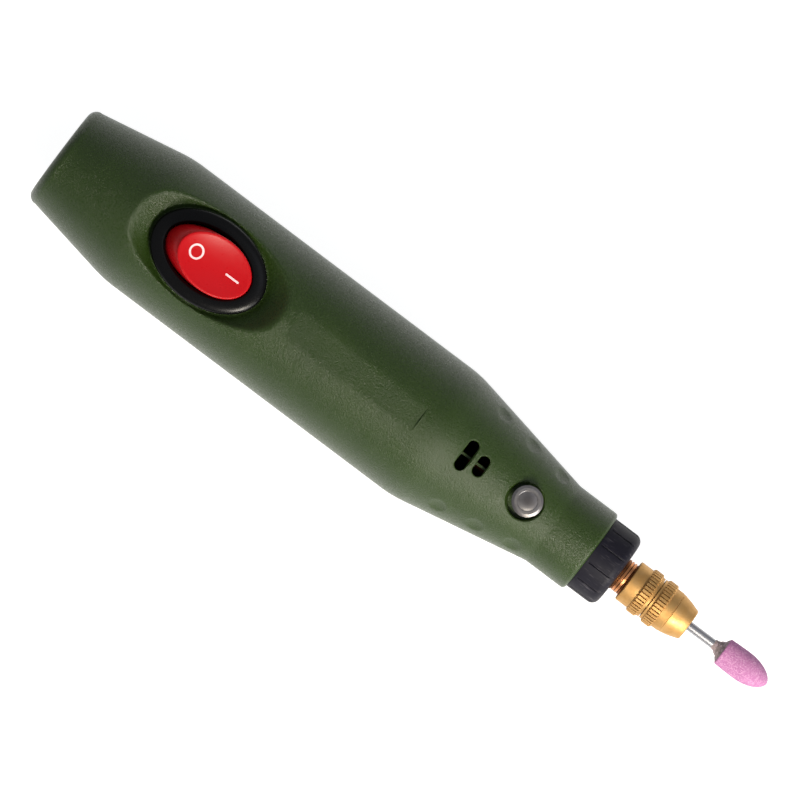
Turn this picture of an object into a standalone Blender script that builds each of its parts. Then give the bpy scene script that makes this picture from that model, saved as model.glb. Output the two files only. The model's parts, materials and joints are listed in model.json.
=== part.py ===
"""Electric engraving pen: a 12 V hand grinder with a brass three-jaw chuck and a mounted stone.

The pen lies on its belly flat. Its axis runs along +X towards the stone and the switch faces +Z.
Every piece is placed under the empty pen_frame, which stands on the axis at the rear face, so a
place along the pen is a distance from the rear face.
"""

import math

import bmesh
import bpy
from mathutils import Matrix, Vector

MM = 0.001
DEG = math.pi / 180

# Clearances
SEAT_GAP = 0.3 * MM
RUN_GAP = 0.15 * MM
OVERRUN = 2.0 * MM
WELD = 0.0001 * MM
TIDY_WELD = 0.02 * MM

# Faces round a turned piece, and the step of a fillet
BIG_STEPS = 36
ROOM_STEPS = 20
OVAL_STEPS = 24
CHUCK_STEPS = 32
MID_STEPS = 20
SMALL_STEPS = 14
TINY_STEPS = 8
FILLET_STEP = 30 * DEG
SMALL_FILLET_STEP = 50 * DEG
SMALL_FILLET = 1.2 * MM
SHARP_ANGLE = 32 * DEG
FLAT_ANGLE = 0.3 * DEG
SEAM_TURN = 5 * DEG
HALF_SHARE = 0.5
DIMPLE_STEPS = 8
BALL_STEPS = 5
BALL_RINGS = 4
CAGE_STEPS = 4
ARMATURE_STEPS = 8
TUBE_RESOLUTION = 1
SPRING_STEPS = 8

# Casing, outside
BODY_DIAMETER = 35.0 * MM
REAR_DIAMETER = 25.3 * MM
REAR_TAPER_LENGTH = 25.7 * MM
BARREL_LENGTH = 83.9 * MM
FRONT_TAPER_LENGTH = 34.3 * MM
COLLAR_DIAMETER = 21.5 * MM
COLLAR_LENGTH = 10.6 * MM
SPIGOT_DIAMETER = 16.0 * MM
SPIGOT_LENGTH = 6.2 * MM
REAR_EDGE_RADIUS = 2.4 * MM
REAR_BLEND_RADIUS = 24.0 * MM
FRONT_BLEND_RADIUS = 24.0 * MM
COLLAR_EDGE_RADIUS = 0.9 * MM
BELLY_FLAT_WIDTH = 12.0 * MM

# Casing, inside
WALL = 2.2 * MM
REAR_WALL = 2.4 * MM
PARTING_GAP = 0.3 * MM
RIB = 1.6 * MM
LIP = 1.4 * MM

# Switch dish and bare label recess
SWITCH_STATION = 42.9 * MM
DISH_DEPTH = 4.75 * MM
DISH_LENGTH = 42.5 * MM
DISH_FLOOR_LENGTH = 31.6 * MM
DISH_FLOOR_WIDTH = 25.0 * MM
DISH_FLARE = 1.2 * MM
DISH_SHARES = [(0.0, 0.0), (0.2, 0.05), (0.42, 0.22), (0.65, 0.5), (0.85, 0.79), (1.0, 1.0)]
LABEL_START = 67.4 * MM
LABEL_SETBACK = 5.5 * MM
LABEL_WIDTH = 7.0 * MM

# Vent slots and finger dimples, behind and along the front taper
VENT_SETBACK = 8.3 * MM
VENT_PITCH = 4.2 * MM
VENT_WIDTH = 2.7 * MM
VENT_LONG = 8.0 * MM
VENT_SHORT = 5.3 * MM
VENT_RIB = 1.0 * MM
VENT_RIB_HEIGHT = 1.6 * MM
DIMPLE_SETBACK = 9.9 * MM
DIMPLE_PITCH = 9.65 * MM
DIMPLE_LENGTH = 4.4 * MM
DIMPLE_WIDTH = 3.2 * MM
DIMPLE_DEPTH = 0.5 * MM
DIMPLE_ANGLE = 52 * DEG
DIMPLE_COUNT = 3

# Casing screws
SCREW_SHANK_DIAMETER = 2.5 * MM
SCREW_HEAD_DIAMETER = 4.8 * MM
SCREW_HEAD_HEIGHT = 1.9 * MM
SCREW_LENGTH = 14.0 * MM
SCREW_TIP_LENGTH = 1.5 * MM
SCREW_SEAT_DEPTH = 6.5 * MM
SCREW_BOSS_WALL = 1.6 * MM
REAR_SCREW_STATION = 20.0 * MM
FRONT_SCREW_SETBACK = 0.6 * MM
SCREW_INSET = 5.4 * MM

# Nose cap
NOSE_CAP_DIAMETER = 19.4 * MM
NOSE_CAP_LENGTH = 8.6 * MM
NOSE_CAP_FRONT = 1.9 * MM
NOSE_CAP_EDGE_RADIUS = 2.0 * MM
NOSE_CAP_GROOVES = 12
NOSE_CAP_GROOVE_WIDTH = 0.5 * MM
NOSE_CAP_GROOVE_DEPTH = 0.25 * MM
NOSE_CAP_GROOVE_MARGIN = 1.2 * MM

# Switch housing, rocker and contacts
BEZEL_LENGTH = 30.3 * MM
BEZEL_WIDTH = 21.0 * MM
BEZEL_HEIGHT = 2.2 * MM
BEZEL_EDGE_HEIGHT = 0.8 * MM
BEZEL_LIP = 0.7 * MM
BEZEL_DOME_SHARES = [(1.0, 0.0), (0.97, 0.25), (0.78, 0.62), (0.42, 0.88), (0.0, 1.0)]
OPENING_LENGTH = 22.9 * MM
OPENING_WIDTH = 14.2 * MM
OPENING_SHARES = (0.0, 0.4, 0.8)
PIVOT_DEPTH = 4.0 * MM
ROCKER_SIDE_GAP = 0.4 * MM
ROCKER_TILT = 14.95 * DEG
ROCKER_FACE_HEIGHT = 6.7 * MM
ROCKER_SKIRT = 3.0 * MM
ROCKER_SHARES = (-1.0, 0.0, 0.25, 0.5, 0.75)
ROCKER_WALL = 1.3 * MM
ROCKER_EDGE = 0.3 * MM
TRUNNION_DIAMETER = 2.0 * MM
TRUNNION_LENGTH = 0.9 * MM
HOUSING_WALL = 1.2 * MM
HOUSING_DEPTH = 9.0 * MM
HUB_LENGTH = 4.4 * MM
HUB_WIDTH = 5.0 * MM
PLUNGER_DIAMETER = 2.4 * MM
PLUNGER_LENGTH = 4.8 * MM
PLUNGER_REACH = 4.6 * MM
BRIDGE_LENGTH = 13.0 * MM
BRIDGE_WIDTH = 4.0 * MM
BRIDGE_THICKNESS = 0.5 * MM
BRIDGE_TILT = 6 * DEG
BRIDGE_PIVOT_DEPTH = 5.7 * MM
BLADE_WIDTH = 4.8 * MM
BLADE_THICKNESS = 0.8 * MM
BLADE_LENGTH = 6.0 * MM
BLADE_SPACING = 5.6 * MM

# DC inlet
JACK_WIDTH = 9.2 * MM
JACK_LENGTH = 13.2 * MM
JACK_SNOUT_DIAMETER = 8.4 * MM
JACK_BORE_DIAMETER = 6.3 * MM
JACK_BORE_DEPTH = 12.0 * MM
JACK_PIN_DIAMETER = 2.1 * MM
JACK_PIN_RECESS = 1.2 * MM
JACK_TAB_LENGTH = 3.4 * MM
JACK_LEAF_WIDTH = 2.4 * MM
JACK_LEAF_THICKNESS = 0.4 * MM
JACK_LEAF_MARGIN = 3.0 * MM
JACK_RIB_INSET = 2.4 * MM

# Spindle lock
LOCK_SETBACK = 8.3 * MM
BUTTON_DIAMETER = 7.45 * MM
BUTTON_HEIGHT = 1.5 * MM
BUTTON_EDGE = 0.35 * MM
BUTTON_PROUD = 2.1 * MM
BUTTON_RECESS_DIAMETER = 9.9 * MM
LOCK_PIN_DIAMETER = 3.0 * MM
LOCK_TRAVEL = 2.2 * MM
LOCK_TIP_GAP = 0.5 * MM
LOCK_GUIDE_THICKNESS = 1.5 * MM
LOCK_GUIDE_WALL = 1.4 * MM
LOCK_SPRING_DIAMETER = 5.4 * MM
LOCK_SPRING_WIRE = 0.4 * MM
LOCK_SPRING_TURNS = 3
LOCK_CLIP_DIAMETER = 6.0 * MM
LOCK_CLIP_THICKNESS = 0.6 * MM
LOCK_CLIP_SLOT = 1.6 * MM
LOCK_GROOVE_DEPTH = 0.35 * MM

# Motor
MOTOR_ROOM_GAP = 1.45 * MM
MOTOR_SWITCH_GAP = 8.77 * MM
MOTOR_SETBACK = 6.6 * MM
MOTOR_CAN_WALL = 0.8 * MM
MOTOR_BOSS_DIAMETER = 10.0 * MM
MOTOR_BOSS_LENGTH = 2.0 * MM
MOTOR_EDGE_RADIUS = 1.6 * MM
MOTOR_CAP_THICKNESS = 3.0 * MM
MOTOR_SHAFT_DIAMETER = 2.3 * MM
MOTOR_SHAFT_FRONT = 10.0 * MM
MOTOR_SHAFT_REAR = 1.5 * MM
BUSH_DIAMETER = 6.0 * MM
BUSH_LENGTH = 2.6 * MM
MAGNET_THICKNESS = 2.3 * MM
MAGNET_REAR_GAP = 9.2 * MM
MAGNET_HALF_ANGLE = 62 * DEG
MAGNET_STEPS = 12
MAGNET_FRONT_GAP = 4.0 * MM
ARMATURE_AIR_GAP = 1.05 * MM
ARMATURE_SETBACK = 3.0 * MM
ARMATURE_POLES = 3
ARMATURE_SHOE_HALF_ANGLE = 48 * DEG
ARMATURE_SHOE_SHARE = 0.096
ARMATURE_NECK_SHARE = 0.181
ARMATURE_HUB_SHARE = 0.351
COIL_THICKNESS_SHARE = 0.101
COIL_END = 1.6 * MM
COIL_CORE_GAP = 0.3 * MM
COMMUTATOR_DIAMETER = 6.4 * MM
COMMUTATOR_LENGTH = 5.0 * MM
MOTOR_BLADE_INSET = 5.85 * MM
MOTOR_BLADE_WIDTH = 2.8 * MM
MOTOR_BLADE_THICKNESS = 0.5 * MM
MOTOR_BLADE_LENGTH = 5.0 * MM
BRUSH_WIDTH = 2.4 * MM
BRUSH_THICKNESS = 0.6 * MM

# Coupling and spindle
COUPLING_DIAMETER = 9.0 * MM
COUPLING_LENGTH = 13.0 * MM
COUPLING_START_GAP = 1.0 * MM
GRUB_DIAMETER = 2.5 * MM
GRUB_INSET = 3.2 * MM
SPINDLE_DIAMETER = 8.0 * MM
SPINDLE_REAR_DIAMETER = 5.0 * MM
SPINDLE_NOSE_DIAMETER = 8.6 * MM
SPINDLE_ENGAGEMENT = 5.0 * MM
SPINDLE_BORE_DEPTH = 10.0 * MM
THREAD_SHOWN = 2.8 * MM
THREAD_RELIEF = 0.5 * MM

# Ball bearings: the front one carries the 8 mm spindle, the rear one its 5 mm tail
FRONT_BEARING_DIAMETER = 16.0 * MM
FRONT_BEARING_WIDTH = 5.0 * MM
FRONT_BEARING_SETBACK = 2.4 * MM
REAR_BEARING_DIAMETER = 13.0 * MM
REAR_BEARING_WIDTH = 4.0 * MM
BEARING_SPACING = 17.3 * MM
BEARING_RING_SHARE = 0.24
BEARING_BALL_SHARE = 0.34
FRONT_BALLS = 7
REAR_BALLS = 7
CAGE_WIRE = 0.7 * MM

# Chuck
CHUCK_REAR_DIAMETER = 10.7 * MM
CHUCK_REAR_LENGTH = 3.5 * MM
CHUCK_REAR_CHAMFER = 0.4 * MM
KNURL_DIAMETER = 11.9 * MM
KNURL_LENGTH = 2.75 * MM
KNURL_TEETH = 32
KNURL_DEPTH = 0.4 * MM
KNURL_GROOVE_SHARE = 0.38
KNURL_CHAMFER = 0.25 * MM
CHUCK_GROOVE_DIAMETER = 10.85 * MM
CHUCK_GROOVE_LENGTH = 1.5 * MM
CHUCK_STEP_DIAMETER = 10.7 * MM
CHUCK_STEP_LENGTH = 2.3 * MM
CHUCK_NOSE_LENGTH = 4.8 * MM
CHUCK_NOSE_REAR_DIAMETER = 10.4 * MM
CHUCK_NOSE_MIDDLE_DIAMETER = 9.4 * MM
CHUCK_NOSE_FRONT_DIAMETER = 7.9 * MM
CHUCK_NOSE_EDGE_RADIUS = 0.5 * MM
CHUCK_BORE_DIAMETER = 3.4 * MM
CHUCK_CORE_SETBACK = 2.6 * MM
JAW_DIAMETER = 2.2 * MM
JAW_LENGTH = 7.0 * MM
JAW_ANGLE = 9 * DEG
JAW_FACE_SHARE = 0.7
JAW_SETBACK = 0.5 * MM
JAW_TRAVEL = 1.8 * MM
JAW_COUNT = 3

# Bit
SHANK_DIAMETER = 2.35 * MM
SHANK_GRIPPED = 19.0 * MM
SHANK_SHOWN = 9.9 * MM
SHANK_IN_STONE = 8.0 * MM
SHANK_EDGE = 0.3 * MM
BOND_LENGTH = 2.4 * MM
BOND_SMALL_DIAMETER = 3.3 * MM
BOND_LARGE_DIAMETER = 5.8 * MM
STONE_DIAMETER = 7.0 * MM
STONE_REAR_DIAMETER = 6.6 * MM
STONE_LENGTH = 12.6 * MM
STONE_STRAIGHT_SHARE = 0.42
STONE_OGIVE_SHARE = 0.9
STONE_TIP_STEPS = 7
STONE_EDGE_RADIUS = 0.3 * MM

# Wires
WIRE_DIAMETER = 1.2 * MM
WIRE_STEPS = 3
WIRE_END_GAP = 0.3 * MM
WIRE_LEAD = 1.6 * MM

# Places along the pen
BARREL_START = REAR_TAPER_LENGTH
TAPER_START = BARREL_START + BARREL_LENGTH
COLLAR_START = TAPER_START + FRONT_TAPER_LENGTH
CAP_START = COLLAR_START + COLLAR_LENGTH
CAP_END = CAP_START + NOSE_CAP_LENGTH
CHUCK_START = CAP_END + THREAD_SHOWN
GROOVE_START = CHUCK_START + CHUCK_REAR_LENGTH + KNURL_LENGTH
SLEEVE_KNURL_START = GROOVE_START + CHUCK_GROOVE_LENGTH
STEP_START = SLEEVE_KNURL_START + KNURL_LENGTH
NOSE_START = STEP_START + CHUCK_STEP_LENGTH
CHUCK_END = NOSE_START + CHUCK_NOSE_LENGTH
STONE_START = CHUCK_END + SHANK_SHOWN
PEN_LENGTH = STONE_START + STONE_LENGTH
LABEL_END = TAPER_START - LABEL_SETBACK
ROCKER_RADIUS = math.hypot(OPENING_LENGTH / 2, PIVOT_DEPTH) - SEAT_GAP
MOTOR_START = SWITCH_STATION + ROCKER_RADIUS + SEAT_GAP + HOUSING_WALL + MOTOR_SWITCH_GAP
MOTOR_END = TAPER_START - MOTOR_SETBACK
MAGNET_START = MOTOR_START + MAGNET_REAR_GAP
MAGNET_END = MOTOR_END - MOTOR_CAN_WALL - MAGNET_FRONT_GAP
COUPLING_START = MOTOR_END + MOTOR_BOSS_LENGTH + COUPLING_START_GAP
COUPLING_END = COUPLING_START + COUPLING_LENGTH
SHAFT_END = MOTOR_END + MOTOR_SHAFT_FRONT
FRONT_BEARING_START = CAP_START - FRONT_BEARING_SETBACK - FRONT_BEARING_WIDTH
REAR_BEARING_START = FRONT_BEARING_START - BEARING_SPACING - REAR_BEARING_WIDTH
LOCK_STATION = COLLAR_START - LOCK_SETBACK
FRONT_SCREW_STATION = TAPER_START - FRONT_SCREW_SETBACK

# Heights above the axis
BODY_RADIUS = BODY_DIAMETER / 2
DISH_FLOOR_HEIGHT = BODY_RADIUS - DISH_DEPTH
BELLY_DEPTH = math.sqrt(BODY_RADIUS**2 - (BELLY_FLAT_WIDTH / 2) ** 2)
LABEL_HEIGHT = math.sqrt(BODY_RADIUS**2 - (LABEL_WIDTH / 2) ** 2)
BEZEL_SEAT = DISH_FLOOR_HEIGHT + SEAT_GAP
BEZEL_TOP = BEZEL_SEAT + BEZEL_HEIGHT
PIVOT_HEIGHT = BEZEL_TOP - PIVOT_DEPTH
ROCKER_HALF_WIDTH = OPENING_WIDTH / 2 - ROCKER_SIDE_GAP
BRIDGE_PIVOT_HEIGHT = PIVOT_HEIGHT - BRIDGE_PIVOT_DEPTH
HOUSING_FLOOR = PIVOT_HEIGHT - HOUSING_DEPTH + HOUSING_WALL

# The motor fills the casing's room, and its armature the room between the magnets
MOTOR_RADIUS = BODY_RADIUS - WALL - MOTOR_ROOM_GAP
MOTOR_BLADE_PLACE = MOTOR_RADIUS - MOTOR_BLADE_INSET
MAGNET_OUTER = MOTOR_RADIUS - MOTOR_CAN_WALL - SEAT_GAP
MAGNET_INNER = MAGNET_OUTER - MAGNET_THICKNESS
ARMATURE_RADIUS = MAGNET_INNER - ARMATURE_AIR_GAP
ARMATURE_SHOE = ARMATURE_RADIUS * 2 * ARMATURE_SHOE_SHARE
ARMATURE_HALF_NECK = ARMATURE_RADIUS * ARMATURE_NECK_SHARE
ARMATURE_HUB_RADIUS = ARMATURE_RADIUS * ARMATURE_HUB_SHARE
COIL_THICKNESS = ARMATURE_RADIUS * 2 * COIL_THICKNESS_SHARE


def clear_scene():
    """Leave nothing in the scene that the pen does not bring."""
    for old in list(bpy.data.objects):
        bpy.data.objects.remove(old, do_unlink=True)


def make_material(name, colour, roughness, metallic=0.0):
    """A plain surface: linear colour, roughness and metal share."""
    material = bpy.data.materials.new(name)
    material.use_nodes = True
    surface = material.node_tree.nodes["Principled BSDF"]
    surface.inputs["Base Color"].default_value = (*colour, 1.0)
    surface.inputs["Roughness"].default_value = roughness
    surface.inputs["Metallic"].default_value = metallic
    return material


def make_materials():
    """The pen's surfaces by name."""
    looks = {
        "green_plastic": ((0.060, 0.092, 0.033), 0.55),
        "black_plastic": ((0.008, 0.008, 0.010), 0.40),
        "cap_plastic": ((0.017, 0.016, 0.025), 0.50),
        "red_plastic": ((0.62, 0.015, 0.022), 0.35),
        "pale_plastic": ((0.70, 0.68, 0.60), 0.50),
        "steel": ((0.62, 0.62, 0.62), 0.28, 1.0),
        "zinc_plate": ((0.50, 0.51, 0.53), 0.35, 1.0),
        "brass": ((0.72, 0.47, 0.16), 0.30, 1.0),
        "copper": ((0.64, 0.30, 0.16), 0.35, 1.0),
        "spindle_bronze": ((0.55, 0.27, 0.13), 0.35, 1.0),
        "dark_iron": ((0.20, 0.20, 0.21), 0.50, 1.0),
        "ferrite": ((0.045, 0.045, 0.050), 0.70),
        "bronze": ((0.45, 0.29, 0.14), 0.45, 1.0),
        "cement": ((0.25, 0.21, 0.20), 0.85),
        "pink_oxide": ((0.72, 0.34, 0.62), 0.90),
        "red_wire": ((0.55, 0.02, 0.02), 0.45),
        "black_wire": ((0.012, 0.012, 0.012), 0.45),
    }
    return {name: make_material(name, *look) for name, look in looks.items()}


def make_frame():
    """The empty on the pen's axis at the rear face, with the belly flat standing at Z = 0."""
    frame = bpy.data.objects.new("pen_frame", None)
    bpy.context.collection.objects.link(frame)
    frame.location = (-PEN_LENGTH / 2, 0, BELLY_DEPTH)
    frame.empty_display_size = BODY_DIAMETER
    return frame


def to_object(name, bm, material=None, origin=(0, 0, 0)):
    """Turn a finished bmesh into an object under the frame; its origin is a place in the frame."""
    bmesh.ops.remove_doubles(bm, verts=bm.verts, dist=WELD)
    bmesh.ops.recalc_face_normals(bm, faces=bm.faces)
    mesh = bpy.data.meshes.new(name)
    bm.to_mesh(mesh)
    bm.free()
    mesh.transform(Matrix.Translation(-Vector(origin)))
    mesh.shade_smooth()
    mesh.set_sharp_from_angle(angle=SHARP_ANGLE)
    item = bpy.data.objects.new(name, mesh)
    bpy.context.collection.objects.link(item)
    item.parent = bpy.data.objects["pen_frame"]
    item.location = origin
    if material is None:
        item.hide_render = True
        item.display_type = "WIRE"
    else:
        mesh.materials.append(material)
    return item


def boolean(target, tool, operation):
    """Cut, join or intersect a piece with a tool object."""
    modifier = target.modifiers.new(tool.name, "BOOLEAN")
    modifier.operation = operation
    modifier.solver = "EXACT"
    modifier.object = tool
    tool.hide_render = True
    tool.display_type = "WIRE"


def cut(target, *tools):
    """Take the tools away from a piece."""
    for tool in tools:
        boolean(target, tool, "DIFFERENCE")


def fuse(target, *tools):
    """Make the tools part of a piece."""
    for tool in tools:
        boolean(target, tool, "UNION")


def tidy_flats(target):
    """Merge the points that cuts leave side by side, and the flat faces that they split."""
    weld = target.modifiers.new("tidy_points", "WELD")
    weld.merge_threshold = TIDY_WELD
    modifier = target.modifiers.new("tidy_flats", "DECIMATE")
    modifier.decimate_type = "DISSOLVE"
    modifier.angle_limit = FLAT_ANGLE
    target.modifiers.new("tidy_triangles", "TRIANGULATE")


def filleted(corners):
    """Outline points from corners (x, r) or (x, r, radius), with the round corners as arcs."""
    points = []
    last = len(corners) - 1
    for index, corner in enumerate(corners):
        here = Vector(corner[:2])
        if len(corner) == 2 or index in (0, last):
            points.append(here)
            continue
        back = (Vector(corners[index - 1][:2]) - here).normalized()
        ahead = (Vector(corners[index + 1][:2]) - here).normalized()
        half = back.angle(ahead) / 2
        centre = here + (back + ahead).normalized() * (corner[2] / math.sin(half))
        start = here + back * (corner[2] / math.tan(half)) - centre
        end = here + ahead * (corner[2] / math.tan(half)) - centre
        turn = start.angle(end)
        step_angle = SMALL_FILLET_STEP if corner[2] < SMALL_FILLET else FILLET_STEP
        count = max(2, math.ceil(turn / step_angle))
        for step in range(count + 1):
            share = step / count
            along = start * math.sin((1 - share) * turn) + end * math.sin(share * turn)
            points.append(centre + along / math.sin(turn))
    return points


def turned(outline, steps):
    """A bmesh turned about the pen's axis from (x, r) points, open at the axis or a closed ring."""
    bm = bmesh.new()
    verts = [bm.verts.new((x, 0, r)) for x, r in outline]
    edges = [bm.edges.new(pair) for pair in zip(verts, verts[1:])]
    if outline[0][1] > WELD and outline[-1][1] > WELD:
        edges.append(bm.edges.new((verts[-1], verts[0])))
    bmesh.ops.spin(
        bm,
        geom=verts + edges,
        cent=(0, 0, 0),
        axis=(1, 0, 0),
        angle=math.tau,
        steps=steps,
        use_merge=True,
    )
    return bm


def turned_piece(name, corners, steps, material=None, origin=(0, 0, 0)):
    """A piece turned about the pen's axis."""
    return to_object(name, turned(filleted(corners), steps), material, origin)


def box_bm(low, high):
    """A bmesh box between two corners."""
    low, high = Vector(low), Vector(high)
    bm = bmesh.new()
    place = Matrix.Translation((low + high) / 2) @ Matrix.Diagonal((*(high - low), 1))
    bmesh.ops.create_cube(bm, size=1, matrix=place)
    return bm


def box(name, low, high, material=None, origin=(0, 0, 0)):
    """A box between two corners."""
    return to_object(name, box_bm(low, high), material, origin)


def add_rod(bm, start, end, radius, steps, end_radius=None):
    """A round rod between two points, or a cone where it ends in another radius."""
    start, end = Vector(start), Vector(end)
    turn = (end - start).to_track_quat("Z", "Y").to_matrix().to_4x4()
    bmesh.ops.create_cone(
        bm,
        cap_ends=True,
        segments=steps,
        radius1=radius,
        radius2=radius if end_radius is None else end_radius,
        depth=(end - start).length,
        matrix=Matrix.Translation((start + end) / 2) @ turn,
    )


def rod(name, start, end, radius, steps, material=None, origin=(0, 0, 0)):
    """A round rod between two points."""
    bm = bmesh.new()
    add_rod(bm, start, end, radius, steps)
    return to_object(name, bm, material, origin)


def stacked_ovals(name, station, levels, steps, material=None, origin=(0, 0, 0)):
    """A closed solid of ovals one over another, each (half length, half width, height)."""
    bm = bmesh.new()
    rings = []
    for half_length, half_width, height in levels:
        angles = [math.tau * step / steps for step in range(steps)]
        ring = [
            bm.verts.new((station + half_length * math.cos(a), half_width * math.sin(a), height))
            for a in angles
        ]
        rings.append(ring)
    for low, high in zip(rings, rings[1:]):
        for step in range(steps):
            following = (step + 1) % steps
            bm.faces.new((low[step], low[following], high[following], high[step]))
    bm.faces.new(rings[0])
    bm.faces.new(rings[-1])
    return to_object(name, bm, material, origin)


def prism(name, outline, start, end, material=None):
    """An outline of (y, z) points drawn out along the pen from start to end."""
    bm = bmesh.new()
    face = bm.faces.new([bm.verts.new((start, y, z)) for y, z in outline])
    grown = bmesh.ops.extrude_face_region(bm, geom=[face])["geom"]
    moved = [item for item in grown if isinstance(item, bmesh.types.BMVert)]
    bmesh.ops.translate(bm, verts=moved, vec=(end - start, 0, 0))
    return to_object(name, bm, material)


def casing_radius(station):
    """Outer radius of the casing before its edges are rounded."""
    if station < BARREL_START:
        share = station / BARREL_START
        return (REAR_DIAMETER + (BODY_DIAMETER - REAR_DIAMETER) * share) / 2
    if station < TAPER_START:
        return BODY_RADIUS
    share = min(1, (station - TAPER_START) / FRONT_TAPER_LENGTH)
    return (BODY_DIAMETER + (COLLAR_DIAMETER - BODY_DIAMETER) * share) / 2


def casing_outline():
    """Corners of the casing's outer shape, rear face to spigot."""
    return [
        (0, 0),
        (0, REAR_DIAMETER / 2, REAR_EDGE_RADIUS),
        (BARREL_START, BODY_RADIUS, REAR_BLEND_RADIUS),
        (TAPER_START, BODY_RADIUS, FRONT_BLEND_RADIUS),
        (COLLAR_START, COLLAR_DIAMETER / 2),
        (CAP_START, COLLAR_DIAMETER / 2, COLLAR_EDGE_RADIUS),
        (CAP_START, SPIGOT_DIAMETER / 2),
        (CAP_START + SPIGOT_LENGTH, SPIGOT_DIAMETER / 2),
        (CAP_START + SPIGOT_LENGTH, 0),
    ]


def bearing_pocket(start, width, diameter, hole):
    """Corners of a bearing's pocket between its two lips, with the spindle hole through them."""
    low, high = start - SEAT_GAP, start + width + SEAT_GAP
    pocket = diameter / 2 + SEAT_GAP
    return [
        (low - LIP, hole),
        (low, hole),
        (low, pocket),
        (high, pocket),
        (high, hole),
    ]


def cavity_outline():
    """Corners of the room inside the casing, with the motor's ribs and the bearing seats."""
    room = BODY_RADIUS - WALL
    ring = MOTOR_RADIUS + SEAT_GAP
    first_rib = MOTOR_START + RIB
    second_rib = MOTOR_END - RIB * 2
    tail_hole = SPINDLE_DIAMETER / 2 + SEAT_GAP
    hole = SPINDLE_DIAMETER / 2 + SEAT_GAP * 2
    carrier = REAR_BEARING_START - SEAT_GAP - LIP
    chamber = REAR_BEARING_START + REAR_BEARING_WIDTH + SEAT_GAP + LIP
    nose = FRONT_BEARING_START - SEAT_GAP - LIP
    return [
        (REAR_WALL, 0),
        (REAR_WALL, casing_radius(REAR_WALL) - WALL),
        (BARREL_START, room),
        (first_rib, room),
        (first_rib, ring),
        (first_rib + RIB, ring),
        (first_rib + RIB, room),
        (second_rib, room),
        (second_rib, ring),
        (second_rib + RIB, ring),
        (second_rib + RIB, room),
        (TAPER_START, room),
        (carrier, casing_radius(carrier) - WALL),
        *bearing_pocket(REAR_BEARING_START, REAR_BEARING_WIDTH, REAR_BEARING_DIAMETER, tail_hole),
        (chamber, tail_hole),
        (chamber, casing_radius(chamber) - WALL),
        (nose, casing_radius(nose) - WALL),
        *bearing_pocket(FRONT_BEARING_START, FRONT_BEARING_WIDTH, FRONT_BEARING_DIAMETER, hole),
        (CAP_START + SPIGOT_LENGTH + OVERRUN, hole),
        (CAP_START + SPIGOT_LENGTH + OVERRUN, 0),
    ]


def dish_levels(rows, grow, drop):
    """Ovals of the switch dish, grown sideways and lowered for the backing behind its wall."""
    run = (DISH_LENGTH - DISH_FLOOR_LENGTH) / 2
    rise = BODY_RADIUS - DISH_FLOOR_HEIGHT
    levels = []
    for run_share, rise_share in rows:
        half_length = DISH_FLOOR_LENGTH / 2 + run * run_share + grow
        half_width = DISH_FLOOR_WIDTH / 2 + DISH_FLARE * run_share + grow
        levels.append((half_length, half_width, DISH_FLOOR_HEIGHT + rise * rise_share - drop))
    half_length, half_width, height = levels[-1]
    levels.append((half_length + run / 2, half_width + DISH_FLARE, height + rise / 2 + OVERRUN))
    return levels


def rocker_oval(height, clearance):
    """The rocker's oval at a height over its pivot: its ends follow an arc about the pivot."""
    radius = ROCKER_RADIUS + clearance
    return math.sqrt(radius**2 - height**2)


def screw_places():
    """Stations and sideways places of the four casing screws."""
    places = []
    for station in (REAR_SCREW_STATION, FRONT_SCREW_STATION):
        spread = casing_radius(station) - SCREW_INSET
        places += [(station, -spread), (station, spread)]
    return places


def casing_bosses(side):
    """Screw bosses and the inlet's two cradle ribs in one half; side is 1 above the axis."""
    bosses = []
    root, reach = -OVERRUN * side, BODY_DIAMETER * side
    for number, (station, spread) in enumerate(screw_places(), 1):
        radius = SCREW_HEAD_DIAMETER / 2 + SEAT_GAP
        radius = radius + SCREW_BOSS_WALL if side < 0 else SCREW_SHANK_DIAMETER / 2 + SCREW_BOSS_WALL
        name = f"boss_{number}_{'top' if side > 0 else 'bottom'}"
        bosses.append(rod(name, (station, spread, root), (station, spread, reach), radius, SMALL_STEPS))
    for number, inset in enumerate((JACK_RIB_INSET, JACK_LENGTH - JACK_RIB_INSET), 1):
        start = REAR_WALL + SEAT_GAP + inset - RIB / 2
        low = (start, -BODY_RADIUS, min(root, reach))
        high = (start + RIB, BODY_RADIUS, max(root, reach))
        bosses.append(box(f"inlet_rib_{number}_{'top' if side > 0 else 'bottom'}", low, high))
    return bosses


def casing_half(name, side, keep, material):
    """One half of the casing: outer shape, room with its ribs and bosses, and the inlet's seat."""
    half = turned_piece(name, casing_outline(), BIG_STEPS, material)
    room = turned_piece(f"{name}_room", cavity_outline(), ROOM_STEPS)
    cut(room, *keep)
    parting = PARTING_GAP / 2
    reach = BODY_DIAMETER
    low = (-OVERRUN, -reach, -reach if side > 0 else -parting)
    high = (PEN_LENGTH, reach, parting if side > 0 else reach)
    other_side = box(f"{name}_other_side", low, high)
    inlet = JACK_WIDTH / 2 + SEAT_GAP
    seat = box(
        f"{name}_inlet_seat",
        (REAR_WALL + SEAT_GAP / 2, -inlet, -inlet),
        (REAR_WALL + JACK_LENGTH + SEAT_GAP * 2, inlet, inlet),
    )
    mouth = rod(
        f"{name}_inlet_mouth",
        (-OVERRUN, 0, 0),
        (REAR_WALL + OVERRUN, 0, 0),
        JACK_SNOUT_DIAMETER / 2 + SEAT_GAP,
        MID_STEPS,
    )
    # Turned a little, so that no corner of the mouth falls on a seam of the turned shape
    mouth.rotation_euler = (SEAM_TURN, 0, 0)
    cut(half, room, seat, mouth, other_side)
    return half


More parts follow.
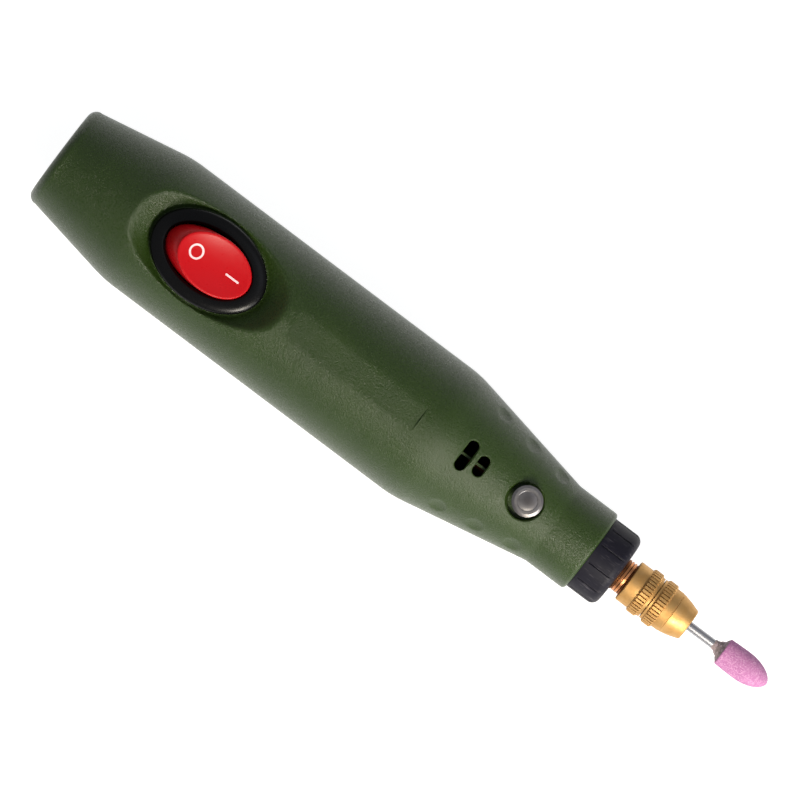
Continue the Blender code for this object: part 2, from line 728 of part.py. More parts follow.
def vent_slot(name, station, length):
    """Cutter for a round-ended slot across the casing's top."""
    bm = bmesh.new()
    radius = VENT_WIDTH / 2
    straight = length / 2 - radius
    points = []
    for side in (1, -1):
        for step in range(TINY_STEPS // 2 + 1):
            angle = math.pi * step / (TINY_STEPS // 2)
            across = straight + radius * math.sin(angle)
            points.append((station + side * radius * math.cos(angle), side * across))
    face = bm.faces.new([bm.verts.new((x, y, SPINDLE_DIAMETER)) for x, y in points])
    grown = bmesh.ops.extrude_face_region(bm, geom=[face])["geom"]
    moved = [item for item in grown if isinstance(item, bmesh.types.BMVert)]
    bmesh.ops.translate(bm, verts=moved, vec=(0, 0, BODY_RADIUS))
    return to_object(name, bm)


def finger_dimples():
    """Cutters for the three finger dimples on each flank of the front taper."""
    cutters = []
    slope = math.atan2((BODY_DIAMETER - COLLAR_DIAMETER) / 2, FRONT_TAPER_LENGTH)
    for side in (1, -1):
        for number in range(DIMPLE_COUNT):
            station = TAPER_START + DIMPLE_SETBACK + DIMPLE_PITCH * number
            bm = bmesh.new()
            scale = Matrix.Diagonal((DIMPLE_LENGTH / 2, DIMPLE_WIDTH / 2, DIMPLE_DEPTH, 1))
            bmesh.ops.create_uvsphere(
                bm, u_segments=DIMPLE_STEPS, v_segments=DIMPLE_STEPS // 2, radius=1, matrix=scale
            )
            tilt = Matrix.Rotation(slope, 4, "Y")
            lift = Matrix.Translation((station, 0, casing_radius(station)))
            turn = Matrix.Rotation(-side * DIMPLE_ANGLE, 4, "X")
            bmesh.ops.transform(bm, matrix=turn @ lift @ tilt, verts=bm.verts)
            cutters.append(to_object(f"dimple_{number + 1}_{'left' if side > 0 else 'right'}", bm))
    return cutters


def lock_heights():
    """Heights of the lock's guide and button above the axis, from the spindle outwards."""
    tip = SPINDLE_DIAMETER / 2 + LOCK_TIP_GAP
    clip = tip + LOCK_TRAVEL + RUN_GAP
    guide = clip + LOCK_CLIP_THICKNESS + SEAT_GAP
    guide_top = guide + LOCK_GUIDE_THICKNESS
    top = casing_radius(LOCK_STATION) + BUTTON_PROUD
    return {"tip": tip, "clip": clip, "guide": guide, "guide_top": guide_top, "top": top}


def upper_shell(looks):
    """Upper half: switch dish and panel hole, label recess, vents, dimples and the lock's guide."""
    heights = lock_heights()
    guide_radius = BUTTON_RECESS_DIAMETER / 2 + LOCK_GUIDE_WALL
    guide = rod(
        "lock_guide",
        (LOCK_STATION, 0, heights["guide"]),
        (LOCK_STATION, 0, BODY_DIAMETER),
        guide_radius,
        MID_STEPS,
    )
    backing_levels = dish_levels(DISH_SHARES[::5], WALL, WALL)
    backing = stacked_ovals("dish_backing", SWITCH_STATION, backing_levels, OVAL_STEPS)
    vent_station = TAPER_START + VENT_SETBACK
    vent_end = vent_station + VENT_PITCH + VENT_WIDTH
    vent_rib = box(
        "vent_rib",
        (vent_station - VENT_WIDTH, -VENT_RIB / 2, casing_radius(vent_end) - WALL - VENT_RIB_HEIGHT),
        (vent_end, VENT_RIB / 2, BODY_DIAMETER),
    )
    keep = casing_bosses(1) + [guide, backing, vent_rib]
    shell = casing_half("upper_shell", 1, keep, looks["green_plastic"])
    dish = stacked_ovals("switch_dish", SWITCH_STATION, dish_levels(DISH_SHARES, 0, 0), OVAL_STEPS)
    housing_half_length = ROCKER_RADIUS + SEAT_GAP + HOUSING_WALL + SEAT_GAP
    housing_half_width = OPENING_WIDTH / 2 + HOUSING_WALL + SEAT_GAP
    panel = stacked_ovals(
        "switch_panel_hole",
        SWITCH_STATION,
        [(housing_half_length, housing_half_width, z) for z in (0, BODY_DIAMETER)],
        OVAL_STEPS,
    )
    label = box(
        "label_recess",
        (LABEL_START, -BODY_RADIUS, LABEL_HEIGHT),
        (LABEL_END, BODY_RADIUS, BODY_DIAMETER),
    )
    top = (LOCK_STATION, 0, BODY_DIAMETER)
    recess = rod(
        "button_recess",
        (LOCK_STATION, 0, heights["guide_top"]),
        top,
        BUTTON_RECESS_DIAMETER / 2,
        MID_STEPS,
    )
    bore = rod("lock_bore", (LOCK_STATION, 0, 0), top, LOCK_PIN_DIAMETER / 2 + RUN_GAP, SMALL_STEPS)
    cut(shell, dish, panel, label)
    for number, (half_station, length) in enumerate(((0, VENT_LONG), (VENT_PITCH, VENT_SHORT)), 1):
        slot = vent_slot(f"vent_slot_{number}", vent_station + half_station, length)
        bar_height = casing_radius(vent_end) - VENT_RIB_HEIGHT
        bar = box(
            f"vent_bar_{number}",
            (vent_station - VENT_WIDTH, -VENT_RIB / 2, 0),
            (vent_end, VENT_RIB / 2, bar_height),
        )
        cut(slot, bar)
        cut(shell, slot)
    cut(shell, recess, bore, *finger_dimples())
    pilot_top = SCREW_LENGTH - SCREW_SEAT_DEPTH + SEAT_GAP * 2
    for number, (station, spread) in enumerate(screw_places(), 1):
        pilot = rod(
            f"pilot_hole_{number}",
            (station, spread, -OVERRUN),
            (station, spread, pilot_top),
            SCREW_SHANK_DIAMETER / 2 + RUN_GAP,
            TINY_STEPS,
        )
        cut(shell, pilot)
    tidy_flats(shell)


def lower_shell(looks):
    """Lower half: belly flat and the four sunk screw seats."""
    shell = casing_half("lower_shell", -1, casing_bosses(-1), looks["green_plastic"])
    belly = box(
        "belly_flat",
        (-OVERRUN, -BODY_DIAMETER, -BODY_DIAMETER),
        (PEN_LENGTH, BODY_DIAMETER, -BELLY_DEPTH),
    )
    cut(shell, belly)
    for number, (station, spread) in enumerate(screw_places(), 1):
        low = (station, spread, -BODY_DIAMETER)
        seat = (station, spread, -SCREW_SEAT_DEPTH)
        above = (station, spread, OVERRUN)
        sink = rod(f"screw_sink_{number}", low, seat, SCREW_HEAD_DIAMETER / 2 + SEAT_GAP, SMALL_STEPS)
        hole = rod(f"screw_hole_{number}", seat, above, SCREW_SHANK_DIAMETER / 2 + SEAT_GAP, TINY_STEPS)
        fuse(sink, hole)
        cut(shell, sink)
    tidy_flats(shell)


def case_screws(looks):
    """Four self-tapping screws driven up from below."""
    seat = -SCREW_SEAT_DEPTH - SEAT_GAP
    shank = SCREW_SHANK_DIAMETER / 2
    for number, (station, spread) in enumerate(screw_places(), 1):
        outline = filleted(
            [
                (0, 0),
                (0, SCREW_HEAD_DIAMETER / 2, SCREW_HEAD_HEIGHT / 3),
                (SCREW_HEAD_HEIGHT, SCREW_HEAD_DIAMETER / 2),
                (SCREW_HEAD_HEIGHT, shank),
                (SCREW_HEAD_HEIGHT + SCREW_LENGTH - SCREW_TIP_LENGTH, shank),
                (SCREW_HEAD_HEIGHT + SCREW_LENGTH, 0),
            ]
        )
        bm = turned(outline, TINY_STEPS)
        upright = Matrix.Rotation(-math.pi / 2, 4, "Y")
        place = Matrix.Translation((station, spread, seat - SCREW_HEAD_HEIGHT))
        bmesh.ops.transform(bm, matrix=place @ upright, verts=bm.verts)
        to_object(f"case_screw_{number}", bm, looks["zinc_plate"], (station, spread, seat))


def nose_cap(looks):
    """The black cap that clamps the two halves together over the spigot."""
    outer = NOSE_CAP_DIAMETER / 2
    inner = SPIGOT_DIAMETER / 2 + SEAT_GAP
    hole = SPINDLE_NOSE_DIAMETER / 2 + SEAT_GAP * 2
    start = CAP_START + SEAT_GAP
    cap = turned_piece(
        "nose_cap",
        [
            (start, inner),
            (start, outer),
            (CAP_END, outer, NOSE_CAP_EDGE_RADIUS),
            (CAP_END, hole),
            (CAP_END - NOSE_CAP_FRONT, hole),
            (CAP_END - NOSE_CAP_FRONT, inner),
        ],
        BIG_STEPS,
        looks["cap_plastic"],
    )
    bm = bmesh.new()
    for number in range(NOSE_CAP_GROOVES):
        groove = Matrix.Translation((0, 0, outer)) @ Matrix.Diagonal(
            (1, NOSE_CAP_GROOVE_WIDTH, NOSE_CAP_GROOVE_DEPTH * 2, 1)
        )
        low = start + NOSE_CAP_GROOVE_MARGIN
        length = CAP_END + OVERRUN - low
        stretch = Matrix.Translation((low + length / 2, 0, 0)) @ Matrix.Diagonal((length, 1, 1, 1))
        turn = Matrix.Rotation(math.tau * (number + HALF_SHARE) / NOSE_CAP_GROOVES, 4, "X")
        bmesh.ops.create_cube(bm, size=1, matrix=turn @ stretch @ groove)
    cut(cap, to_object("nose_cap_grooves", bm))
    tidy_flats(cap)


def switch_housing(looks):
    """Oval bezel with its domed flange, and the deep oval box behind the panel."""
    outer_length = ROCKER_RADIUS + SEAT_GAP + HOUSING_WALL
    outer_width = OPENING_WIDTH / 2 + HOUSING_WALL
    bottom = PIVOT_HEIGHT - HOUSING_DEPTH
    lip_length = OPENING_LENGTH / 2 + BEZEL_LIP
    lip_width = OPENING_WIDTH / 2 + BEZEL_LIP
    levels = [
        (outer_length, outer_width, bottom),
        (outer_length, outer_width, BEZEL_SEAT),
        (BEZEL_LENGTH / 2, BEZEL_WIDTH / 2, BEZEL_SEAT),
    ]
    for out_share, up_share in BEZEL_DOME_SHARES:
        levels.append(
            (
                lip_length + (BEZEL_LENGTH / 2 - lip_length) * out_share,
                lip_width + (BEZEL_WIDTH / 2 - lip_width) * out_share,
                BEZEL_SEAT + BEZEL_EDGE_HEIGHT + (BEZEL_HEIGHT - BEZEL_EDGE_HEIGHT) * up_share,
            )
        )
    housing = stacked_ovals("switch_housing", SWITCH_STATION, levels, OVAL_STEPS, looks["black_plastic"])
    half_width = OPENING_WIDTH / 2
    room = [(rocker_oval(0, SEAT_GAP), half_width, HOUSING_FLOOR)]
    for share in OPENING_SHARES:
        height = PIVOT_DEPTH * share
        room.append((rocker_oval(height, SEAT_GAP), half_width, PIVOT_HEIGHT + height))
    room.append((OPENING_LENGTH / 2 + BEZEL_LIP * 2, half_width + BEZEL_LIP * 2, BEZEL_TOP + BEZEL_LIP))
    cavity = stacked_ovals("switch_cavity", SWITCH_STATION, room, OVAL_STEPS)
    reach = half_width + HOUSING_WALL + OVERRUN
    pivot = rod(
        "trunnion_holes",
        (SWITCH_STATION, -reach, PIVOT_HEIGHT),
        (SWITCH_STATION, reach, PIVOT_HEIGHT),
        TRUNNION_DIAMETER / 2 + RUN_GAP,
        TINY_STEPS,
    )
    cut(housing, cavity, pivot)
    half_thick = BLADE_THICKNESS / 2 + RUN_GAP
    half_wide = BLADE_WIDTH / 2 + RUN_GAP
    for number, station in enumerate(blade_stations(), 1):
        slot = box(
            f"blade_slot_{number}",
            (station - half_thick, -half_wide, bottom - OVERRUN),
            (station + half_thick, half_wide, HOUSING_FLOOR + OVERRUN),
        )
        cut(housing, slot)


def blade_stations():
    """Stations of the switch's two blades: the rear contact and the bridge's pivot."""
    return (SWITCH_STATION - BLADE_SPACING, SWITCH_STATION)


def rocker(looks):
    """The red cap, with its end walls on an arc about the pivot, stub pins and the plunger's hub."""
    pivot = (SWITCH_STATION, 0, PIVOT_HEIGHT)
    half_width = ROCKER_HALF_WIDTH
    levels = []
    for share in ROCKER_SHARES:
        height = ROCKER_FACE_HEIGHT * share if share > 0 else ROCKER_SKIRT * share
        levels.append((rocker_oval(height, 0), half_width, PIVOT_HEIGHT + height))
    rim = ROCKER_FACE_HEIGHT - ROCKER_EDGE
    face = rocker_oval(ROCKER_FACE_HEIGHT, 0)
    levels.append((rocker_oval(rim, 0), half_width, PIVOT_HEIGHT + rim))
    levels.append((face - ROCKER_EDGE, half_width - ROCKER_EDGE, PIVOT_HEIGHT + ROCKER_FACE_HEIGHT))
    cap = stacked_ovals("rocker", SWITCH_STATION, levels, OVAL_STEPS, looks["red_plastic"], pivot)
    inner_top = ROCKER_FACE_HEIGHT - ROCKER_WALL
    hollow_levels = [
        (rocker_oval(0, -ROCKER_WALL), half_width - ROCKER_WALL, -ROCKER_SKIRT - OVERRUN),
        (rocker_oval(0, -ROCKER_WALL), half_width - ROCKER_WALL, 0),
        (rocker_oval(inner_top / 2, -ROCKER_WALL), half_width - ROCKER_WALL, inner_top / 2),
        (rocker_oval(inner_top, -ROCKER_WALL), half_width - ROCKER_WALL, inner_top),
    ]
    hollow = stacked_ovals(
        "rocker_hollow",
        SWITCH_STATION,
        [(a, b, PIVOT_HEIGHT + z) for a, b, z in hollow_levels],
        MID_STEPS,
        origin=pivot,
    )
    hub = box(
        "rocker_hub",
        (SWITCH_STATION - HUB_LENGTH / 2, -HUB_WIDTH / 2, PIVOT_HEIGHT - ROCKER_SKIRT / 2),
        (SWITCH_STATION + HUB_LENGTH / 2, HUB_WIDTH / 2, PIVOT_HEIGHT + inner_top + ROCKER_WALL / 2),
        origin=pivot,
    )
    reach = OPENING_WIDTH / 2 + TRUNNION_LENGTH
    pins = []
    for side in (1, -1):
        inner = half_width - ROCKER_WALL / 2
        pins.append(
            rod(
                f"rocker_pin_{'left' if side > 0 else 'right'}",
                (SWITCH_STATION, side * inner, PIVOT_HEIGHT),
                (SWITCH_STATION, side * reach, PIVOT_HEIGHT),
                TRUNNION_DIAMETER / 2,
                TINY_STEPS,
                origin=pivot,
            )
        )
    plunger_top = PLUNGER_LENGTH - PLUNGER_REACH
    socket = rod(
        "plunger_socket",
        (SWITCH_STATION, 0, PIVOT_HEIGHT - PLUNGER_REACH),
        (SWITCH_STATION, 0, PIVOT_HEIGHT + plunger_top + SEAT_GAP),
        PLUNGER_DIAMETER / 2 + RUN_GAP,
        TINY_STEPS,
        origin=pivot,
    )
    cut(cap, hollow)
    fuse(cap, hub, *pins)
    cut(cap, socket)
    bm = bmesh.new()
    add_rod(
        bm,
        (SWITCH_STATION, 0, PIVOT_HEIGHT - PLUNGER_REACH),
        (SWITCH_STATION, 0, PIVOT_HEIGHT + plunger_top),
        PLUNGER_DIAMETER / 2,
        TINY_STEPS,
    )
    plunger = to_object("switch_plunger", bm, looks["pale_plastic"], pivot)
    tilted = (cap, hollow, hub, *pins, socket, plunger)
    for item in tilted:
        item.rotation_euler = (0, ROCKER_TILT, 0)


def switch_contacts(looks):
    """The tilting bridge and the two blades that pass down through the housing's floor."""
    pivot = (SWITCH_STATION, 0, BRIDGE_PIVOT_HEIGHT)
    bridge = box(
        "contact_bridge",
        (SWITCH_STATION - BRIDGE_LENGTH / 2, -BRIDGE_WIDTH / 2, BRIDGE_PIVOT_HEIGHT),
        (SWITCH_STATION + BRIDGE_LENGTH / 2, BRIDGE_WIDTH / 2, BRIDGE_PIVOT_HEIGHT + BRIDGE_THICKNESS),
        looks["copper"],
        pivot,
    )
    bridge.rotation_euler = (0, -BRIDGE_TILT, 0)
    bottom = PIVOT_HEIGHT - HOUSING_DEPTH
    rear, middle = blade_stations()
    drop = BLADE_SPACING * math.sin(BRIDGE_TILT)
    tops = {
        "switch_terminal_1": (rear, BRIDGE_PIVOT_HEIGHT - drop - SEAT_GAP),
        "switch_terminal_2": (middle, BRIDGE_PIVOT_HEIGHT - SEAT_GAP),
    }
    for name, (station, top) in tops.items():
        box(
            name,
            (station - BLADE_THICKNESS / 2, -BLADE_WIDTH / 2, bottom - BLADE_LENGTH),
            (station + BLADE_THICKNESS / 2, BLADE_WIDTH / 2, top),
            looks["brass"],
            (station, 0, bottom),
        )


def dc_inlet(looks):
    """Inlet in the rear face: body with its snout and bore, centre pin and side leaf."""
    start = REAR_WALL + SEAT_GAP
    half = JACK_WIDTH / 2
    back = start + JACK_LENGTH
    body = box("dc_inlet", (start, -half, -half), (back, half, half), looks["black_plastic"])
    snout_radius = JACK_SNOUT_DIAMETER / 2
    snout = rod("inlet_snout", (SEAT_GAP, 0, 0), (start + RIB, 0, 0), snout_radius, MID_STEPS)
    bore_end = SEAT_GAP + JACK_BORE_DEPTH
    bore_radius = JACK_BORE_DIAMETER / 2
    bore = rod("inlet_bore", (-OVERRUN, 0, 0), (bore_end, 0, 0), bore_radius, SMALL_STEPS)
    pin_radius = JACK_PIN_DIAMETER / 2 + RUN_GAP
    pin_hole = rod("inlet_pin_hole", (start, 0, 0), (back + OVERRUN, 0, 0), pin_radius, TINY_STEPS)
    leaf_top = -JACK_BORE_DIAMETER / 2 + JACK_LEAF_THICKNESS / 2
    leaf_low = leaf_top - JACK_LEAF_THICKNESS
    leaf_start = start + JACK_LEAF_MARGIN
    slot = box(
        "inlet_leaf_slot",
        (leaf_start - SEAT_GAP, -JACK_LEAF_WIDTH / 2 - RUN_GAP, leaf_low - RUN_GAP),
        (back + OVERRUN, JACK_LEAF_WIDTH / 2 + RUN_GAP, leaf_top + RUN_GAP),
    )
    fuse(body, snout)
    cut(body, bore, pin_hole, slot)
    rod(
        "inlet_pin",
        (SEAT_GAP + JACK_PIN_RECESS, 0, 0),
        (back + JACK_TAB_LENGTH, 0, 0),
        JACK_PIN_DIAMETER / 2,
        TINY_STEPS,
        looks["zinc_plate"],
    )
    box(
        "inlet_leaf",
        (leaf_start, -JACK_LEAF_WIDTH / 2, leaf_low),
        (back + JACK_TAB_LENGTH, JACK_LEAF_WIDTH / 2, leaf_top),
        looks["zinc_plate"],
    )


def coil_spring(name, low, high, radius, wire, turns, material):
    """A closed helix of round wire, standing on the lock's axis between two heights."""
    curve = bpy.data.curves.new(name, "CURVE")
    curve.dimensions = "3D"
    curve.bevel_depth = wire / 2
    curve.bevel_resolution = TUBE_RESOLUTION
    curve.use_fill_caps = True
    count = turns * SPRING_STEPS
    line = curve.splines.new("POLY")
    line.points.add(count)
    for step in range(count + 1):
        share = step / count
        angle = math.tau * turns * share
        height = low + wire / 2 + (high - low - wire) * share
        line.points[step].co = (radius * math.cos(angle), radius * math.sin(angle), height, 1)
    curve.materials.append(material)
    item = bpy.data.objects.new(name, curve)
    bpy.context.collection.objects.link(item)
    item.parent = bpy.data.objects["pen_frame"]
    return item


def spindle_lock(looks):
    """Steel button with its pin, the spring under its head and the clip below the guide."""
    heights = lock_heights()
    head_low = heights["top"] - BUTTON_HEIGHT
    pin = LOCK_PIN_DIAMETER / 2
    groove_low = heights["clip"] - RUN_GAP
    groove_high = heights["clip"] + LOCK_CLIP_THICKNESS + RUN_GAP
    corners = [
        (heights["tip"], 0),
        (heights["tip"], pin, LOCK_GROOVE_DEPTH),
        (groove_low, pin),
        (groove_low, pin - LOCK_GROOVE_DEPTH),
        (groove_high, pin - LOCK_GROOVE_DEPTH),
        (groove_high, pin),
        (head_low, pin),
        (head_low, BUTTON_DIAMETER / 2),
        (heights["top"], BUTTON_DIAMETER / 2, BUTTON_EDGE),
        (heights["top"], 0),
    ]
    bm = turned(filleted(corners), MID_STEPS)
    upright = Matrix.Translation((LOCK_STATION, 0, 0)) @ Matrix.Rotation(-math.pi / 2, 4, "Y")
    bmesh.ops.transform(bm, matrix=upright, verts=bm.verts)
    to_object("lock_button", bm, looks["steel"], (LOCK_STATION, 0, heights["guide_top"]))
    spring = coil_spring(
        "lock_spring",
        heights["guide_top"] + SEAT_GAP,
        head_low - SEAT_GAP,
        (LOCK_SPRING_DIAMETER - LOCK_SPRING_WIRE) / 2,
        LOCK_SPRING_WIRE,
        LOCK_SPRING_TURNS,
        looks["steel"],
    )
    spring.location = (LOCK_STATION, 0, 0)
    low = heights["clip"]
    clip_bm = bmesh.new()
    add_rod(
        clip_bm,
        (LOCK_STATION, 0, low),
        (LOCK_STATION, 0, low + LOCK_CLIP_THICKNESS),
        LOCK_CLIP_DIAMETER / 2,
        SMALL_STEPS,
    )
    clip = to_object("lock_clip", clip_bm, looks["steel"], (LOCK_STATION, 0, low))
    groove = rod(
        "clip_bore",
        (LOCK_STATION, 0, low - OVERRUN),
        (LOCK_STATION, 0, low + OVERRUN),
        pin - LOCK_GROOVE_DEPTH + RUN_GAP,
        TINY_STEPS,
    )
    slot = box(
        "clip_slot",
        (LOCK_STATION, -LOCK_CLIP_SLOT / 2, low - OVERRUN),
        (LOCK_STATION + LOCK_CLIP_DIAMETER, LOCK_CLIP_SLOT / 2, low + OVERRUN),
    )
    cut(clip, groove, slot)


def motor_body(looks):
    """Can, end cap, magnets and sleeve bushes: the part of the motor that stands still."""
    outer = MOTOR_RADIUS
    inner = outer - MOTOR_CAN_WALL
    bush = BUSH_DIAMETER / 2 + RUN_GAP
    boss = MOTOR_BOSS_DIAMETER / 2
    cap_end = MOTOR_START + MOTOR_CAP_THICKNESS
    turned_piece(
        "motor_can",
        [
            (cap_end + SEAT_GAP, inner),
            (cap_end + SEAT_GAP, outer),
            (MOTOR_END, outer, MOTOR_EDGE_RADIUS),
            (MOTOR_END, boss),
            (MOTOR_END + MOTOR_BOSS_LENGTH, boss),
            (MOTOR_END + MOTOR_BOSS_LENGTH, bush),
            (MOTOR_END - MOTOR_CAN_WALL, bush),
            (MOTOR_END - MOTOR_CAN_WALL, inner),
        ],
        ROOM_STEPS,
        looks["zinc_plate"],
    )
    cap = turned_piece(
        "motor_end_cap",
        [
            (MOTOR_START, bush),
            (MOTOR_START, outer, MOTOR_CAN_WALL),
            (cap_end, outer),
            (cap_end, bush),
        ],
        ROOM_STEPS,
        looks["black_plastic"],
    )
    for side in (1, -1):
        middle = side * MOTOR_BLADE_PLACE
        half = MOTOR_BLADE_THICKNESS / 2 + RUN_GAP
        slot = box(
            f"motor_blade_slot_{'left' if side > 0 else 'right'}",
            (MOTOR_START - OVERRUN, middle - half, -MOTOR_BLADE_WIDTH / 2 - RUN_GAP),
            (cap_end + OVERRUN, middle + half, MOTOR_BLADE_WIDTH / 2 + RUN_GAP),
        )
        cut(cap, slot)
    shaft_hole = MOTOR_SHAFT_DIAMETER / 2 + RUN_GAP
    front = MOTOR_END + MOTOR_BOSS_LENGTH
    for name, low in (("motor_bush_rear", MOTOR_START), ("motor_bush_front", front - BUSH_LENGTH)):
        turned_piece(
            name,
            [
                (low, shaft_hole),
                (low, BUSH_DIAMETER / 2),
                (low + BUSH_LENGTH, BUSH_DIAMETER / 2),
                (low + BUSH_LENGTH, shaft_hole),
            ],
            SMALL_STEPS,
            looks["bronze"],
        )
    for number, middle in enumerate((0, math.pi), 1):
        outline = arc_band(MAGNET_INNER, MAGNET_OUTER, middle, MAGNET_HALF_ANGLE, MAGNET_STEPS)
        prism(f"motor_magnet_{number}", outline, MAGNET_START, MAGNET_END, looks["ferrite"])


def arc_band(inner, outer, middle, half_angle, steps):
    """(y, z) points of a band between two radii, as wide as twice half_angle about middle."""
    points = []
    for radius, turn in ((outer, 1), (inner, -1)):
        for step in range(steps + 1):
            angle = middle + turn * half_angle * (2 * step / steps - 1)
            points.append((radius * math.sin(angle), radius * math.cos(angle)))
    return points


def motor_terminals(looks):
    """Blades through the end cap, each with its brush arm reaching the commutator."""
    inside = MOTOR_START + MOTOR_CAP_THICKNESS + SEAT_GAP
    brush_end = inside + COMMUTATOR_LENGTH
    for number, side in enumerate((1, -1), 1):
        middle = side * MOTOR_BLADE_PLACE
        touch = side * (COMMUTATOR_DIAMETER / 2 + RUN_GAP)
        half = MOTOR_BLADE_THICKNESS / 2
        blade = box(
            f"motor_terminal_{number}",
            (MOTOR_START - MOTOR_BLADE_LENGTH, middle - half, -MOTOR_BLADE_WIDTH / 2),
            (inside + MOTOR_BLADE_THICKNESS * 2, middle + half, MOTOR_BLADE_WIDTH / 2),
            looks["copper"],
        )
        arm = box(
            f"brush_arm_{number}",
            (inside, min(touch, middle), -BRUSH_WIDTH / 2),
            (inside + BRUSH_THICKNESS, max(touch, middle), BRUSH_WIDTH / 2),
        )
        foot = box(
            f"brush_foot_{number}",
            (inside, min(touch, touch + side * BRUSH_THICKNESS), -BRUSH_WIDTH / 2),
            (brush_end - BRUSH_THICKNESS, max(touch, touch + side * BRUSH_THICKNESS), BRUSH_WIDTH / 2),
        )
        fuse(blade, arm, foot)


def armature_outline():
    """(y, z) points of the three-pole core: hub, necks and round shoes."""
    points = []
    neck = ARMATURE_HALF_NECK
    outer = ARMATURE_RADIUS
    under = outer - ARMATURE_SHOE
    hub = ARMATURE_HUB_RADIUS
    for pole in range(ARMATURE_POLES):
        middle = math.tau * pole / ARMATURE_POLES
        local = [
            (hub, -math.asin(neck / hub)),
            (under, -math.asin(neck / under)),
            (under, -ARMATURE_SHOE_HALF_ANGLE),
        ]
        for step in range(ARMATURE_STEPS + 1):
            local.append((outer, ARMATURE_SHOE_HALF_ANGLE * (2 * step / ARMATURE_STEPS - 1)))
        local += [
            (under, ARMATURE_SHOE_HALF_ANGLE),
            (under, math.asin(neck / under)),
            (hub, math.asin(neck / hub)),
        ]
        points += [(r * math.sin(middle + a), r * math.cos(middle + a)) for r, a in local]
    return points


def motor_rotor(looks):
    """Shaft, laminated core, one coil a pole, and the commutator."""
    core_start = MAGNET_START + ARMATURE_SETBACK
    core_end = MAGNET_END - ARMATURE_SETBACK
    shaft = MOTOR_SHAFT_DIAMETER / 2
    turned_piece(
        "motor_shaft",
        [
            (MOTOR_START - MOTOR_SHAFT_REAR, 0),
            (MOTOR_START - MOTOR_SHAFT_REAR, shaft, SHANK_EDGE),
            (SHAFT_END, shaft, SHANK_EDGE),
            (SHAFT_END, 0),
        ],
        TINY_STEPS,
        looks["steel"],
    )
    core = prism("armature_core", armature_outline(), core_start, core_end, looks["dark_iron"])
    bore_start = (core_start - OVERRUN, 0, 0)
    bore_end = (core_end + OVERRUN, 0, 0)
    cut(core, rod("core_bore", bore_start, bore_end, shaft + RUN_GAP, TINY_STEPS))
    neck = ARMATURE_HALF_NECK + COIL_CORE_GAP
    low = ARMATURE_HUB_RADIUS + COIL_CORE_GAP
    under = ARMATURE_RADIUS - ARMATURE_SHOE - COIL_CORE_GAP * 2
    high = math.sqrt(under**2 - (neck + COIL_THICKNESS) ** 2) - COIL_CORE_GAP
    for number in range(ARMATURE_POLES):
        turn = math.tau * number / ARMATURE_POLES
        coil = box(
            f"coil_{number + 1}",
            (core_start - COIL_CORE_GAP - COIL_END, -neck - COIL_THICKNESS, low),
            (core_end + COIL_CORE_GAP + COIL_END, neck + COIL_THICKNESS, high),
            looks["copper"],
        )
        window = box(
            f"coil_window_{number + 1}",
            (core_start - COIL_CORE_GAP, -neck, low - OVERRUN),
            (core_end + COIL_CORE_GAP, neck, high + OVERRUN),
        )
        cut(coil, window)
        for item in (coil, window):
            item.rotation_euler = (-turn, 0, 0)
    start = MOTOR_START + MOTOR_CAP_THICKNESS + SEAT_GAP * 2
    turned_piece(
        "commutator",
        [
            (start, shaft + RUN_GAP),
            (start, COMMUTATOR_DIAMETER / 2),
            (start + COMMUTATOR_LENGTH, COMMUTATOR_DIAMETER / 2),
            (start + COMMUTATOR_LENGTH, shaft + RUN_GAP),
        ],
        SMALL_STEPS,
        looks["copper"],
    )


def drive_coupling(looks):
    """Brass sleeve between the motor's shaft and the spindle's tail, with a grub screw on each."""
    outer = COUPLING_DIAMETER / 2
    small = MOTOR_SHAFT_DIAMETER / 2 + RUN_GAP
    large = SPINDLE_REAR_DIAMETER / 2 + RUN_GAP
    step = SHAFT_END + SEAT_GAP
    coupling = turned_piece(
        "coupling",
        [
            (COUPLING_START, small),
            (COUPLING_START, outer, SHANK_EDGE),
            (COUPLING_END, outer, SHANK_EDGE),
            (COUPLING_END, large),
            (step, large),
            (step, small),
        ],
        SMALL_STEPS,
        looks["brass"],
    )
    places = (
        (COUPLING_START + GRUB_INSET, MOTOR_SHAFT_DIAMETER / 2),
        (COUPLING_END - GRUB_INSET, SPINDLE_REAR_DIAMETER / 2),
    )
    for number, (station, shaft) in enumerate(places, 1):
        radius = GRUB_DIAMETER / 2
        mouth = (station, 0, outer + OVERRUN)
        hole = rod(f"grub_hole_{number}", (station, 0, 0), mouth, radius + RUN_GAP, TINY_STEPS)
        cut(coupling, hole)
        seat = shaft + RUN_GAP
        rod(
            f"grub_screw_{number}",
            (station, 0, seat),
            (station, 0, outer - RUN_GAP),
            radius,
            TINY_STEPS,
            looks["dark_iron"],
        )


